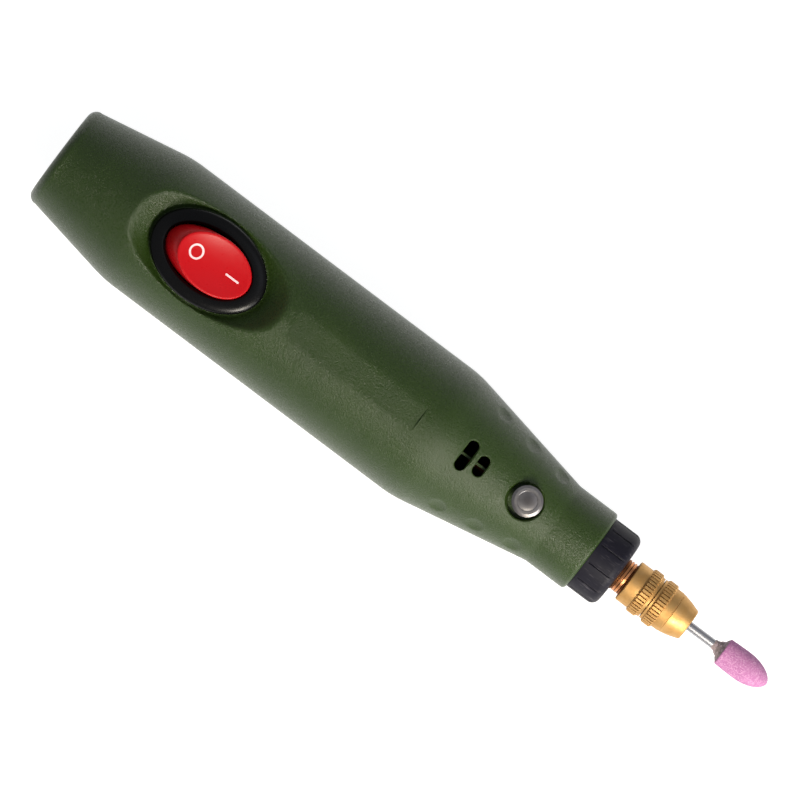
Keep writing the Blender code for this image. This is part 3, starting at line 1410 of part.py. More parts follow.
def spindle(looks):
    """Tail, 8 mm journal with the lock's cross hole, and the nose that carries the chuck."""
    tail = SPINDLE_REAR_DIAMETER / 2
    journal = SPINDLE_DIAMETER / 2
    nose = SPINDLE_NOSE_DIAMETER / 2
    shoulder = REAR_BEARING_START + REAR_BEARING_WIDTH + SEAT_GAP
    nose_start = CAP_START + SPIGOT_LENGTH + SEAT_GAP * 2
    end = CHUCK_START + SPINDLE_ENGAGEMENT - SEAT_GAP * 2
    shaft = turned_piece(
        "spindle",
        [
            (SHAFT_END + SEAT_GAP * 2, 0),
            (SHAFT_END + SEAT_GAP * 2, tail, SHANK_EDGE),
            (shoulder, tail),
            (shoulder, journal, SHANK_EDGE),
            (nose_start, journal),
            (nose_start, nose),
            (end, nose, THREAD_RELIEF),
            (end, 0),
        ],
        MID_STEPS,
        looks["spindle_bronze"],
    )
    bore = rod(
        "spindle_bore",
        (end - SPINDLE_BORE_DEPTH, 0, 0),
        (end + OVERRUN, 0, 0),
        CHUCK_BORE_DIAMETER / 2,
        SMALL_STEPS,
    )
    lock_hole = rod(
        "lock_cross_hole",
        (LOCK_STATION, 0, -SPINDLE_DIAMETER),
        (LOCK_STATION, 0, SPINDLE_DIAMETER),
        LOCK_PIN_DIAMETER / 2 + SEAT_GAP,
        SMALL_STEPS,
    )
    cut(shaft, bore, lock_hole)
    tidy_flats(shaft)


def ball_bearing(name, start, width, diameter, bore, balls, looks):
    """Outer ring, inner ring, and the balls fused to their cage wire."""
    outer = diameter / 2
    inner = bore / 2 + RUN_GAP
    depth = outer - inner
    ring = depth * BEARING_RING_SHARE
    for part, low, high in (("outer", outer - ring, outer), ("inner", inner, inner + ring)):
        turned_piece(
            f"{name}_{part}",
            [(start, low), (start, high), (start + width, high), (start + width, low)],
            MID_STEPS,
            looks["steel"],
        )
    middle = inner + depth / 2
    bm = turned(
        [
            (start + width / 2 + CAGE_WIRE / 2 * math.cos(a), middle + CAGE_WIRE / 2 * math.sin(a))
            for a in (math.tau * step / CAGE_STEPS for step in range(CAGE_STEPS))
        ],
        SMALL_STEPS,
    )
    cage = to_object(f"{name}_balls", bm, looks["steel"])
    ball_bm = bmesh.new()
    ball_radius = depth * BEARING_BALL_SHARE / 2
    for number in range(balls):
        turn = Matrix.Rotation(math.tau * number / balls, 4, "X")
        place = turn @ Matrix.Translation((start + width / 2, 0, middle))
        bmesh.ops.create_uvsphere(
            ball_bm, u_segments=BALL_STEPS, v_segments=BALL_RINGS, radius=ball_radius, matrix=place
        )
    fuse(cage, to_object(f"{name}_ball_set", ball_bm))


def knurl_cutter(name, start):
    """Narrow blocks round the axis that cut the grooves between a knurled band's teeth."""
    bm = bmesh.new()
    outer = KNURL_DIAMETER / 2
    width = math.pi * KNURL_DIAMETER / KNURL_TEETH * KNURL_GROOVE_SHARE
    low = start - KNURL_CHAMFER / 2
    length = KNURL_LENGTH + KNURL_CHAMFER
    for number in range(KNURL_TEETH):
        turn = Matrix.Rotation(math.tau * number / KNURL_TEETH, 4, "X")
        place = Matrix.Translation((low + length / 2, 0, outer))
        shape = Matrix.Diagonal((length, width, KNURL_DEPTH * 2, 1))
        bmesh.ops.create_cube(bm, size=1, matrix=turn @ place @ shape)
    return to_object(name, bm)


def jaw_frames():
    """Placement of each jaw: its own +Z points forward along the slanted channel."""
    grip = SHANK_DIAMETER / 2 + RUN_GAP + JAW_DIAMETER / 2 * JAW_FACE_SHARE
    tip = CHUCK_END - JAW_SETBACK
    frames = []
    for number in range(JAW_COUNT):
        turn = Matrix.Rotation(math.tau * number / JAW_COUNT, 4, "X")
        place = Matrix.Translation((tip, 0, grip))
        lean = Matrix.Rotation(math.pi / 2 + JAW_ANGLE, 4, "Y")
        frames.append(turn @ place @ lean)
    return frames


def sleeve_room(station):
    """Radius of the sleeve's slanted room, just outside the jaws."""
    tip = CHUCK_END - JAW_SETBACK
    grip = SHANK_DIAMETER / 2 + RUN_GAP + JAW_DIAMETER / 2 * JAW_FACE_SHARE
    back = (tip - station) * math.tan(JAW_ANGLE)
    return grip + back + JAW_DIAMETER / 2 / math.cos(JAW_ANGLE) + RUN_GAP


def chuck_body(looks):
    """Rear of the chuck with its knurled band, and the core that guides the three jaws."""
    rear = CHUCK_REAR_DIAMETER / 2
    knurl = KNURL_DIAMETER / 2
    knurl_start = CHUCK_START + CHUCK_REAR_LENGTH
    groove = CHUCK_GROOVE_DIAMETER / 2
    shoulder = GROOVE_START + CHUCK_GROOVE_LENGTH / 2 - RUN_GAP
    core_end = CHUCK_END - CHUCK_CORE_SETBACK
    socket = SPINDLE_NOSE_DIAMETER / 2 + RUN_GAP
    socket_end = CHUCK_START + SPINDLE_ENGAGEMENT
    body = turned_piece(
        "chuck_body",
        [
            (CHUCK_START, socket),
            (CHUCK_START, rear - CHUCK_REAR_CHAMFER),
            (CHUCK_START + CHUCK_REAR_CHAMFER, rear),
            (knurl_start, rear),
            (knurl_start, knurl - KNURL_CHAMFER),
            (knurl_start + KNURL_CHAMFER, knurl),
            (knurl_start + KNURL_LENGTH - KNURL_CHAMFER, knurl),
            (knurl_start + KNURL_LENGTH, knurl - KNURL_CHAMFER),
            (knurl_start + KNURL_LENGTH, groove),
            (shoulder, groove),
            (shoulder, sleeve_room(shoulder) - RUN_GAP * 2),
            (core_end, sleeve_room(core_end) - RUN_GAP * 2),
            (core_end, CHUCK_BORE_DIAMETER / 2),
            (socket_end, CHUCK_BORE_DIAMETER / 2),
            (socket_end, socket),
        ],
        CHUCK_STEPS,
        looks["brass"],
    )
    cut(body, knurl_cutter("rear_knurl_grooves", knurl_start))
    for number, frame in enumerate(jaw_frames(), 1):
        bm = bmesh.new()
        back = Vector((0, 0, -JAW_LENGTH - JAW_TRAVEL - SEAT_GAP))
        ahead = Vector((0, 0, CHUCK_CORE_SETBACK * 2))
        add_rod(bm, frame @ back, frame @ ahead, JAW_DIAMETER / 2 + RUN_GAP, TINY_STEPS)
        cut(body, to_object(f"jaw_channel_{number}", bm))
    tidy_flats(body)


def chuck_sleeve(looks):
    """Front of the chuck: knurled band, step and rounded nose over the jaws."""
    knurl = KNURL_DIAMETER / 2
    groove = CHUCK_GROOVE_DIAMETER / 2
    start = GROOVE_START + CHUCK_GROOVE_LENGTH / 2 + RUN_GAP
    knurl_start = SLEEVE_KNURL_START
    step = CHUCK_STEP_DIAMETER / 2
    nose_middle = NOSE_START + CHUCK_NOSE_LENGTH / 2
    sleeve = turned_piece(
        "chuck_sleeve",
        [
            (start, sleeve_room(start)),
            (start, groove),
            (knurl_start, groove),
            (knurl_start, knurl - KNURL_CHAMFER),
            (knurl_start + KNURL_CHAMFER, knurl),
            (knurl_start + KNURL_LENGTH - KNURL_CHAMFER, knurl),
            (knurl_start + KNURL_LENGTH, knurl - KNURL_CHAMFER),
            (STEP_START, step),
            (NOSE_START, step),
            (NOSE_START, CHUCK_NOSE_REAR_DIAMETER / 2),
            (nose_middle, CHUCK_NOSE_MIDDLE_DIAMETER / 2, CHUCK_NOSE_LENGTH),
            (CHUCK_END, CHUCK_NOSE_FRONT_DIAMETER / 2, CHUCK_NOSE_EDGE_RADIUS),
            (CHUCK_END, sleeve_room(CHUCK_END)),
        ],
        CHUCK_STEPS,
        looks["brass"],
    )
    cut(sleeve, knurl_cutter("front_knurl_grooves", knurl_start))
    tidy_flats(sleeve)


def chuck_jaws(looks):
    """Three round jaws on slanted ways, each ground flat where it grips the shank."""
    grip = SHANK_DIAMETER / 2 + RUN_GAP
    for number, frame in enumerate(jaw_frames(), 1):
        bm = bmesh.new()
        rear = frame @ Vector((0, 0, -JAW_LENGTH))
        tip = frame.to_translation()
        add_rod(bm, rear, tip, JAW_DIAMETER / 2, TINY_STEPS)
        jaw = to_object(f"chuck_jaw_{number}", bm, looks["steel"], tip)
        face = box_bm(
            (CHUCK_START, -JAW_DIAMETER, -JAW_DIAMETER),
            (CHUCK_END + OVERRUN, JAW_DIAMETER, grip),
        )
        turn = Matrix.Rotation(math.tau * (number - 1) / JAW_COUNT, 4, "X")
        bmesh.ops.transform(face, matrix=turn, verts=face.verts)
        nose = turned_piece(
            f"jaw_nose_{number}",
            [
                (CHUCK_END - JAW_SETBACK, 0),
                (CHUCK_END - JAW_SETBACK, KNURL_DIAMETER),
                (CHUCK_END + KNURL_DIAMETER, KNURL_DIAMETER),
                (CHUCK_END + KNURL_DIAMETER, 0),
            ],
            TINY_STEPS,
        )
        cut(jaw, to_object(f"jaw_face_{number}", face), nose)


def stone_corners():
    """Corners of the bullet stone: a nearly straight rear and an ogive nose."""
    bore = SHANK_DIAMETER / 2 + RUN_GAP
    full = STONE_DIAMETER / 2
    straight = STONE_LENGTH * STONE_STRAIGHT_SHARE
    nose = STONE_LENGTH - straight
    start = STONE_START
    corners = [
        (start + SHANK_IN_STONE + SEAT_GAP, 0),
        (start + SHANK_IN_STONE + SEAT_GAP, bore),
        (start, bore),
        (start, STONE_REAR_DIAMETER / 2, STONE_EDGE_RADIUS),
        (start + straight / 2, (STONE_REAR_DIAMETER + STONE_DIAMETER * 3) / 8),
    ]
    for step in range(STONE_TIP_STEPS):
        share = step / STONE_TIP_STEPS
        angle = math.pi / 2 * share
        radius = full * math.cos(angle) ** STONE_OGIVE_SHARE
        corners.append((start + straight + nose * math.sin(angle), radius))
    corners.append((start + STONE_LENGTH, 0))
    return corners


def mounted_stone(looks):
    """The bit: steel shank, cement collar and pink stone."""
    rear = CHUCK_END - SHANK_GRIPPED
    shank = SHANK_DIAMETER / 2
    turned_piece(
        "bit_shank",
        [
            (rear, 0),
            (rear, shank, SHANK_EDGE),
            (STONE_START + SHANK_IN_STONE, shank, SHANK_EDGE),
            (STONE_START + SHANK_IN_STONE, 0),
        ],
        SMALL_STEPS,
        looks["steel"],
        (rear, 0, 0),
    )
    low = STONE_START - SEAT_GAP - BOND_LENGTH
    high = STONE_START - SEAT_GAP
    turned_piece(
        "stone_bond",
        [
            (low, shank + RUN_GAP),
            (low, BOND_SMALL_DIAMETER / 2, SHANK_EDGE / 2),
            ((low + high) / 2, (BOND_SMALL_DIAMETER + BOND_LARGE_DIAMETER) / 4),
            (high, BOND_LARGE_DIAMETER / 2),
            (high, shank + RUN_GAP),
        ],
        SMALL_STEPS,
        looks["cement"],
        (low, 0, 0),
    )
    corners = stone_corners()
    turned_piece("grinding_stone", corners, MID_STEPS, looks["pink_oxide"], (STONE_START, 0, 0))


def smooth_line(points):
    """Points along a smooth curve through the given ones."""
    path = []
    padded = [points[0] * 2 - points[1], *points, points[-1] * 2 - points[-2]]
    for a, b, c, d in zip(padded, padded[1:], padded[2:], padded[3:]):
        for step in range(WIRE_STEPS):
            t = step / WIRE_STEPS
            bend = (a * 2 - b * 5 + c * 4 - d) * t**2 + (b * 3 - a - c * 3 + d) * t**3
            path.append((b * 2 + (c - a) * t + bend) / 2)
    path.append(points[-1])
    return path


def wire(name, points, material):
    """A thin insulated wire through the given places in the frame."""
    path = smooth_line([Vector(point) for point in points])
    curve = bpy.data.curves.new(name, "CURVE")
    curve.dimensions = "3D"
    curve.bevel_depth = WIRE_DIAMETER / 2
    curve.bevel_resolution = TUBE_RESOLUTION
    curve.use_fill_caps = True
    line = curve.splines.new("POLY")
    line.points.add(len(path) - 1)
    for point, place in zip(line.points, path):
        point.co = (*place, 1)
    curve.materials.append(material)
    item = bpy.data.objects.new(name, curve)
    bpy.context.collection.objects.link(item)
    item.parent = bpy.data.objects["pen_frame"]


def wires(looks):
    """Inlet to switch, switch to motor, and inlet straight to the motor."""
    inlet_back = REAR_WALL + SEAT_GAP + JACK_LENGTH + JACK_TAB_LENGTH + WIRE_END_GAP
    blade_low = PIVOT_HEIGHT - HOUSING_DEPTH - BLADE_LENGTH - WIRE_END_GAP
    rear, middle = blade_stations()
    motor_back = MOTOR_START - MOTOR_BLADE_LENGTH - WIRE_END_GAP
    leaf = -JACK_BORE_DIAMETER / 2
    spread = MOTOR_BLADE_PLACE
    wire(
        "wire_inlet_switch",
        [
            (inlet_back, 0, 0),
            (inlet_back + WIRE_LEAD, 0, 0),
            ((inlet_back + rear) / 2, 0, blade_low / 2),
            (rear, 0, blade_low - WIRE_LEAD * 2),
            (rear, 0, blade_low),
        ],
        looks["red_wire"],
    )
    wire(
        "wire_switch_motor",
        [
            (middle, 0, blade_low),
            (middle, 0, blade_low - WIRE_LEAD),
            ((middle * 2 + motor_back) / 3, spread / 4, blade_low - WIRE_LEAD * 2),
            ((middle + motor_back * 2) / 3, spread * 3 / 4, blade_low / 2),
            (motor_back - WIRE_LEAD, spread, 0),
            (motor_back, spread, 0),
        ],
        looks["red_wire"],
    )
    wire(
        "wire_inlet_motor",
        [
            (inlet_back, 0, leaf),
            (inlet_back + WIRE_LEAD, 0, leaf),
            (inlet_back + WIRE_LEAD * 4, -spread / 2, leaf * 2),
            (rear, -spread, leaf * 2),
            ((middle + motor_back) / 2, -spread, leaf),
            (motor_back - WIRE_LEAD, -spread, 0),
            (motor_back, -spread, 0),
        ],
        looks["black_wire"],
    )


def main():
    """Build the whole pen."""
    clear_scene()
    make_frame()
    looks = make_materials()
    upper_shell(looks)
    lower_shell(looks)
    case_screws(looks)
    nose_cap(looks)
    switch_housing(looks)
    rocker(looks)
    switch_contacts(looks)
    dc_inlet(looks)
    spindle_lock(looks)
    motor_body(looks)
    motor_terminals(looks)
    motor_rotor(looks)
    drive_coupling(looks)
    spindle(looks)
    ball_bearing(
        "front_bearing",
        FRONT_BEARING_START,
        FRONT_BEARING_WIDTH,
        FRONT_BEARING_DIAMETER,
        SPINDLE_DIAMETER,
        FRONT_BALLS,
        looks,
    )
    ball_bearing(
        "rear_bearing",
        REAR_BEARING_START,
        REAR_BEARING_WIDTH,
        REAR_BEARING_DIAMETER,
        SPINDLE_REAR_DIAMETER,
        REAR_BALLS,
        looks,
    )
    chuck_body(looks)
    chuck_sleeve(looks)
    chuck_jaws(looks)
    mounted_stone(looks)
    wires(looks)


main()
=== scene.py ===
# %% [markdown]
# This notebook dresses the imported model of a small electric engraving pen.
# The model gives every size and place. Here each piece that shows gets its fine form and its real finish.
# The pen lies on a pale table and is seen from straight above, as in a shop's picture of it.

# %% Load the frame
import json
import math

import bmesh
import bpy
import numpy as np
from mathutils import Matrix, Vector


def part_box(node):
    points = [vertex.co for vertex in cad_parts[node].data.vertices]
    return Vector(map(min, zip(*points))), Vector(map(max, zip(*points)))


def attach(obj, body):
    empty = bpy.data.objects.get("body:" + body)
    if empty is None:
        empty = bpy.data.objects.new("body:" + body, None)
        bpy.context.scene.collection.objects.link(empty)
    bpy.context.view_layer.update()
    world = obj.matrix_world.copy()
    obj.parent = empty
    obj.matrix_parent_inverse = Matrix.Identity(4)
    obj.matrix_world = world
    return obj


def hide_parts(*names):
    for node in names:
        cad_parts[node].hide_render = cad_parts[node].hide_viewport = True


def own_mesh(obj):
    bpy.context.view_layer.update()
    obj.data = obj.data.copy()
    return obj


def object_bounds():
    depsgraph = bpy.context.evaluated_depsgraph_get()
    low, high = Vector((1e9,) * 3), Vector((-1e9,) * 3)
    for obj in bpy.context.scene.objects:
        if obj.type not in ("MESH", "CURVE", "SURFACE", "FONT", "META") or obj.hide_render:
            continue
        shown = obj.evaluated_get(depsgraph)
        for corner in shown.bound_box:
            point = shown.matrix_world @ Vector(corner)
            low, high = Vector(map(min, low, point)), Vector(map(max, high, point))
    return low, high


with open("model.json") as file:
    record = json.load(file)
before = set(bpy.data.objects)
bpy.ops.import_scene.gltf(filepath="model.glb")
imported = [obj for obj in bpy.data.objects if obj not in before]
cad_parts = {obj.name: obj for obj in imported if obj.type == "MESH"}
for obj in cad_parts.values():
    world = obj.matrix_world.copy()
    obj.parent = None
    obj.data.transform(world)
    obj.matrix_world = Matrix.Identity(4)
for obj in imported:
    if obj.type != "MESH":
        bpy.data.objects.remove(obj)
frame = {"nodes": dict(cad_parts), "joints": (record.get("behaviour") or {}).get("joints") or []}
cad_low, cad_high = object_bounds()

print("nodes in the frame:", len(frame["nodes"]))

# %% [markdown]
# The pen is round, so its pieces are easiest to write about its own axis and in millimetres.
# A place along the pen is a station, counted from the rear face. Height is counted from the axis.
# One matrix takes a finished mesh from there to metres in the frame.

# %% The pen's own space
MM = 0.001
cap_low, cap_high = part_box("nose_cap")
AXIS_Z = (cap_low[2] + cap_high[2]) / 2
REAR_X = cad_low[0]
PEN = Matrix.Translation((REAR_X, 0, AXIS_Z)) @ Matrix.Scale(MM, 4)


def stations(node):
    """First and last station of a node, in mm."""
    return tuple((corner[0] - REAR_X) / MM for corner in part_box(node))


def heights(node):
    """Lowest and highest height of a node over the axis, in mm."""
    return tuple((corner[2] - AXIS_Z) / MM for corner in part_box(node))


def radius_of(node):
    """Half the width of a round node, in mm."""
    low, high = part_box(node)
    return (high[1] - low[1]) / 2 / MM


print("axis height", round(AXIS_Z / MM, 2), "mm; cap from", [round(s, 1) for s in stations("nose_cap")])

# %% [markdown]
# Every finish is a small tree of shader nodes. One function adds a node, sets its values and links it.
# Colours are written as sRGB hex values, as a paint chart gives them, and turned to linear light here.
# A pattern's scale is one over a real size, so a grain of 0.4 mm stays 0.4 mm on every piece.


# %% Helpers for node trees
def feed(tree, node, inputs):
    """Give a node's inputs values or links. A node given as a value stands for its first output in use."""
    for name, value in inputs.items():
        if isinstance(value, bpy.types.Node):
            value = next(output for output in value.outputs if output.enabled)
        if isinstance(value, bpy.types.NodeSocket):
            tree.links.new(value, node.inputs[name])
        else:
            node.inputs[name].default_value = value
    return node


def add(tree, kind, inputs=None, **settings):
    """Add a node, set its properties and feed its inputs."""
    made = tree.nodes.new(kind)
    for name, value in settings.items():
        setattr(made, name, value)
    return feed(tree, made, inputs or {})


def colour(code):
    """Linear RGBA of an sRGB hex value."""
    channels = [int(code[i : i + 2], 16) / 255 for i in (1, 3, 5)]
    linear = [c / 12.92 if c <= 0.04045 else ((c + 0.055) / 1.055) ** 2.4 for c in channels]
    return (*linear, 1.0)


def per(size_mm):
    """Texture scale whose pattern repeats about once in a real size."""
    return 1 / (size_mm * MM)


def bands(size_mm):
    """Scale of a wave texture whose bands lie a real size apart: its phase turns by 20 for each unit."""
    return math.tau * per(size_mm) / 20


def new_finish(name, code, roughness, metallic=0.0, **sockets):
    """A material with its shader and its Object coordinates, ready for its own pattern."""
    material = bpy.data.materials.new(name)
    material.use_nodes = True
    tree = material.node_tree
    plain = {"Base Color": colour(code), "Roughness": roughness, "Metallic": metallic}
    plain.update((socket.replace("_", " "), value) for socket, value in sockets.items())
    shader = feed(tree, tree.nodes["Principled BSDF"], plain)
    return material, tree, shader, add(tree, "ShaderNodeTexCoord").outputs["Object"]


print("1 mm grain has scale", per(1))

# %% [markdown]
# The casing is moulded ABS in army green. Its mould was spark eroded, which leaves a fine even grain.
# The grain breaks the highlight into speckles, and the colour stays nearly even under it.
# A bevel node rounds the sharp edges in the light, as the mould's worn corners do.


# %% Finish: green moulded ABS
def moulded_green():
    """Army green ABS with a spark-eroded grain of about half a millimetre."""
    material, tree, shader, place = new_finish("abs_army_green", "#25370E", 0.33, Specular_IOR_Level=0.38)
    cloud = add(tree, "ShaderNodeTexNoise", {"Vector": place, "Scale": per(9), "Detail": 3.0})
    tints = {0: cloud, 6: colour("#21330D"), 7: colour("#293C0F")}
    pits = {"Vector": place, "Scale": per(0.5), "Detail": 5.0, "Roughness": 0.75}
    grain = add(tree, "ShaderNodeTexNoise", pits)
    gloss = {"Value": grain, "From Min": 0.3, "From Max": 0.7, "To Min": 0.2, "To Max": 0.44}
    edge = add(tree, "ShaderNodeBevel", {"Radius": 0.25 * MM}, samples=4)
    relief = {"Strength": 0.85, "Distance": 0.22 * MM, "Height": grain, "Normal": edge}
    feed(tree, shader, {
        "Base Color": add(tree, "ShaderNodeMix", tints, data_type="RGBA"),
        "Roughness": add(tree, "ShaderNodeMapRange", gloss),
        "Normal": add(tree, "ShaderNodeBump", relief),
    })
    return material


GREEN = moulded_green()
print("finish", GREEN.name)

# %% [markdown]
# Plain plastics differ in colour, gloss and grain only, so one recipe serves them all.
# The nose cap is glass-filled nylon, a bluish black with pale scuffs along its length.
# The switch is black nylon with a red polycarbonate rocker, and its marks are white pad print.

# %% Finishes: other plastics
GLOSS_SPREAD = 0.08


def plastic(name, code, roughness, grain_mm, relief_mm, edge_mm=0.15, **sockets):
    """Moulded plastic with a fine grain and softened edges."""
    material, tree, shader, place = new_finish(name, code, roughness, **sockets)
    grain = add(tree, "ShaderNodeTexNoise", {"Vector": place, "Scale": per(grain_mm), "Detail": 3.0})
    gloss = {"Value": grain, "To Min": roughness - GLOSS_SPREAD, "To Max": roughness + GLOSS_SPREAD}
    edge = add(tree, "ShaderNodeBevel", {"Radius": edge_mm * MM}, samples=4)
    relief = {"Strength": 0.5, "Distance": relief_mm * MM, "Height": grain, "Normal": edge}
    rough, bump = add(tree, "ShaderNodeMapRange", gloss), add(tree, "ShaderNodeBump", relief)
    feed(tree, shader, {"Roughness": rough, "Normal": bump})
    return material


def scuffed_nylon():
    """Bluish black nylon with pale scuffs that run along the pen."""
    material = plastic("nylon_blue_black", "#11101B", 0.55, 0.5, 0.04, Specular_IOR_Level=0.2)
    tree = material.node_tree
    place = add(tree, "ShaderNodeTexCoord").outputs["Object"]
    drawn = add(tree, "ShaderNodeMapping", {"Vector": place, "Scale": (0.1, 1.0, 1.0)})
    scuff = add(tree, "ShaderNodeTexNoise", {"Vector": drawn, "Scale": per(0.36), "Detail": 6.0})
    mask = {"Value": scuff, "From Min": 0.6, "From Max": 0.76, "To Max": 0.45}
    tints = {0: add(tree, "ShaderNodeMapRange", mask), 6: colour("#11101B"), 7: colour("#6F6C72")}
    tint = add(tree, "ShaderNodeMix", tints, data_type="RGBA")
    feed(tree, tree.nodes["Principled BSDF"], {"Base Color": tint})
    return material


CAP_BLACK = scuffed_nylon()
SWITCH_BLACK = plastic("nylon_switch_black", "#060607", 0.28, 0.8, 0.006, 0.3, Specular_IOR_Level=0.2)
ROCKER_RED = plastic("polycarbonate_red", "#B00C14", 0.3, 1.2, 0.004, 0.12, Specular_IOR_Level=0.16)
MARK_WHITE = plastic("pad_print_white", "#E6C6CA", 0.45, 0.3, 0.004, 0.05)
INLET_BLACK = plastic("pbt_black", "#17171A", 0.4, 0.6, 0.01)
NATURAL_NYLON = plastic("nylon_natural", "#D9D4C2", 0.45, 0.6, 0.01)
print("plastics:", CAP_BLACK.name, SWITCH_BLACK.name, ROCKER_RED.name, MARK_WHITE.name)

# %% [markdown]
# Metal shows how it was cut. A lathe leaves fine rings round the axis, which spread a highlight.
# The rings are a wave along the axis, 0.75 mm apart, drawn coarser than real ones so that they show.
# Grease and handling dull a bright metal in soft patches, which a large noise adds to its roughness.
# Shade is painted into the roots of threads and teeth, where little light gets in. A mesh may hold
# an attribute that is one there, where the finish is painted darker. A mesh without it reads as zero.

# %% Finishes: turned metals
RING_PITCH = 0.75


def turned_metal(name, code, stain_code, roughness, rings=0.004, pitch_mm=RING_PITCH, painted_shade="#2A2622"):
    """Metal turned on a lathe: rings along the pen, dull patches and painted shade in the roots."""
    material, tree, shader, place = new_finish(name, code, roughness, 1.0)
    patch = add(tree, "ShaderNodeTexNoise", {"Vector": place, "Scale": per(2.2), "Detail": 4.0})
    tints = {0: patch, 6: colour(stain_code), 7: colour(code)}
    tint = add(tree, "ShaderNodeMix", tints, data_type="RGBA")
    # How much painted shade a point gets, from the marks on its mesh.
    depth = add(tree, "ShaderNodeAttribute", attribute_name="painted_shade").outputs["Fac"]
    wave = {"Vector": place, "Scale": bands(pitch_mm), "Distortion": 1.5, "Detail": 2.0}
    lines = add(tree, "ShaderNodeTexWave", wave, bands_direction="X").outputs["Fac"]
    dull, bright = roughness + 0.1, roughness - 0.06
    gloss = {"Value": patch, "From Min": 0.3, "From Max": 0.7, "To Min": dull, "To Max": bright}
    edge = add(tree, "ShaderNodeBevel", {"Radius": 0.08 * MM}, samples=4)
    relief = {"Strength": 0.6, "Distance": rings * MM, "Height": lines, "Normal": edge}
    feed(tree, shader, {
        # Painted shade: where the mesh marks a root, the colour turns to the darker shade colour.
        "Base Color": add(tree, "ShaderNodeMix", {0: depth, 6: tint, 7: colour(painted_shade)}, data_type="RGBA"),
        "Roughness": add(tree, "ShaderNodeMapRange", gloss),
        "Normal": add(tree, "ShaderNodeBump", relief),
    })
    return material


# The last colour given to brass and bronze is painted shade, for the roots of their teeth and thread.
BRASS = turned_metal("brass_turned", "#D0A870", "#B0864C", 0.54, painted_shade="#A07642")
BRONZE = turned_metal("bronze_thread", "#E0A070", "#B37040", 0.34, painted_shade="#4A2412")
# Near black, as black oxide is. It also stands in for the shade seen inside the vents, as painted shade.
BLACK_OXIDE_AND_SHADE = turned_metal("steel_black_oxide_and_shade", "#0F0D0B", "#0A0908", 0.7)
BEARING_STEEL = turned_metal("steel_bearing", "#D2D3D6", "#B5B6BA", 0.18)
ZINC = turned_metal("steel_zinc_plated", "#B9BCC2", "#8E939B", 0.34)
SPRING_STEEL = turned_metal("steel_spring_wire", "#A9A9AC", "#77777B", 0.3)
SINTERED = turned_metal("bronze_sintered", "#9A7146", "#6B4A2A", 0.55)
COPPER = turned_metal("copper_strip", "#C9794F", "#8F4E31", 0.34)
LAMINATED = turned_metal("iron_laminations", "#6D6E73", "#4B4C50", 0.5, 0.03, 0.5)
print("metals:", BRASS.name, BRONZE.name, BLACK_OXIDE_AND_SHADE.name)

# %% [markdown]
# The bit's shank is ground, not turned. The wheel leaves faint streaks along it and no rings, so its
# gloss changes in long thin lines from end to end.


# %% Finish: ground steel
def ground_steel():
    """Bright steel whose roughness changes in long thin streaks."""
    material, tree, shader, place = new_finish("steel_ground", "#A4A4A8", 0.4, 1.0)
    drawn = add(tree, "ShaderNodeMapping", {"Vector": place, "Scale": (0.02, 1.0, 1.0)})
    streak = add(tree, "ShaderNodeTexNoise", {"Vector": drawn, "Scale": per(0.5), "Detail": 3.0})
    rough = add(tree, "ShaderNodeMapRange", {"Value": streak, "To Min": 0.3, "To Max": 0.5})
    feed(tree, shader, {"Roughness": rough})
    return material


SHANK_STEEL = ground_steel()
print("finish", SHANK_STEEL.name)

# %% [markdown]
# The button's face was faced off on a lathe and is worn by thumbs, so a broad ring about its own upright
# axis is smeared and stained. Object coordinates are moved to the button's centre first, or the ring
# would centre on the pen.


# %% Finish: faced button
def faced_steel(centre):
    """Steel with a facing ring about an upright axis, smeared by a thumb."""
    material, tree, shader, place = new_finish("steel_faced", "#B4B0AE", 0.3, 1.0)
    back = tuple(-value for value in centre)
    moved = add(tree, "ShaderNodeVectorMath", {0: place, 1: back}, operation="ADD")
    wave = {"Vector": moved, "Scale": bands(5.65), "Distortion": 4.0, "Detail": 3.0}
    rings = {"wave_type": "RINGS", "rings_direction": "Z"}
    ring = add(tree, "ShaderNodeTexWave", wave, **rings).outputs["Fac"]
    blur = {"Vector": moved, "Scale": per(1.6), "Detail": 5.0, "Distortion": 1.2}
    smear = add(tree, "ShaderNodeTexNoise", blur)
    stains = {0: smear, 6: colour("#5A5655"), 7: colour("#BDB9B7")}
    worn = add(tree, "ShaderNodeMix", stains, data_type="RGBA")
    tints = {0: ring, 6: colour("#6B6766"), 7: worn}
    feed(tree, shader, {
        "Base Color": add(tree, "ShaderNodeMix", tints, data_type="RGBA"),
        "Roughness": add(tree, "ShaderNodeMapRange", {"Value": smear, "To Min": 0.5, "To Max": 0.22}),
        "Normal": add(tree, "ShaderNodeBump", {"Strength": 0.9, "Distance": 0.1 * MM, "Height": ring}),
    })
    return material


button_low, button_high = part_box("lock_button")
button_centre = ((button_low[0] + button_high[0]) / 2, 0.0, button_high[2])
BUTTON_FACE = faced_steel(button_centre)
print("button centre", [round(value / MM, 2) for value in button_centre])

# %% [markdown]
# The stone is pink aluminium oxide held in a hard bond. Its grains are about 0.25 mm and catch the light
# one by one, so shade and relief change from grain to grain.
# The cement that holds it on the shank is a grey smear with pink dust in it.


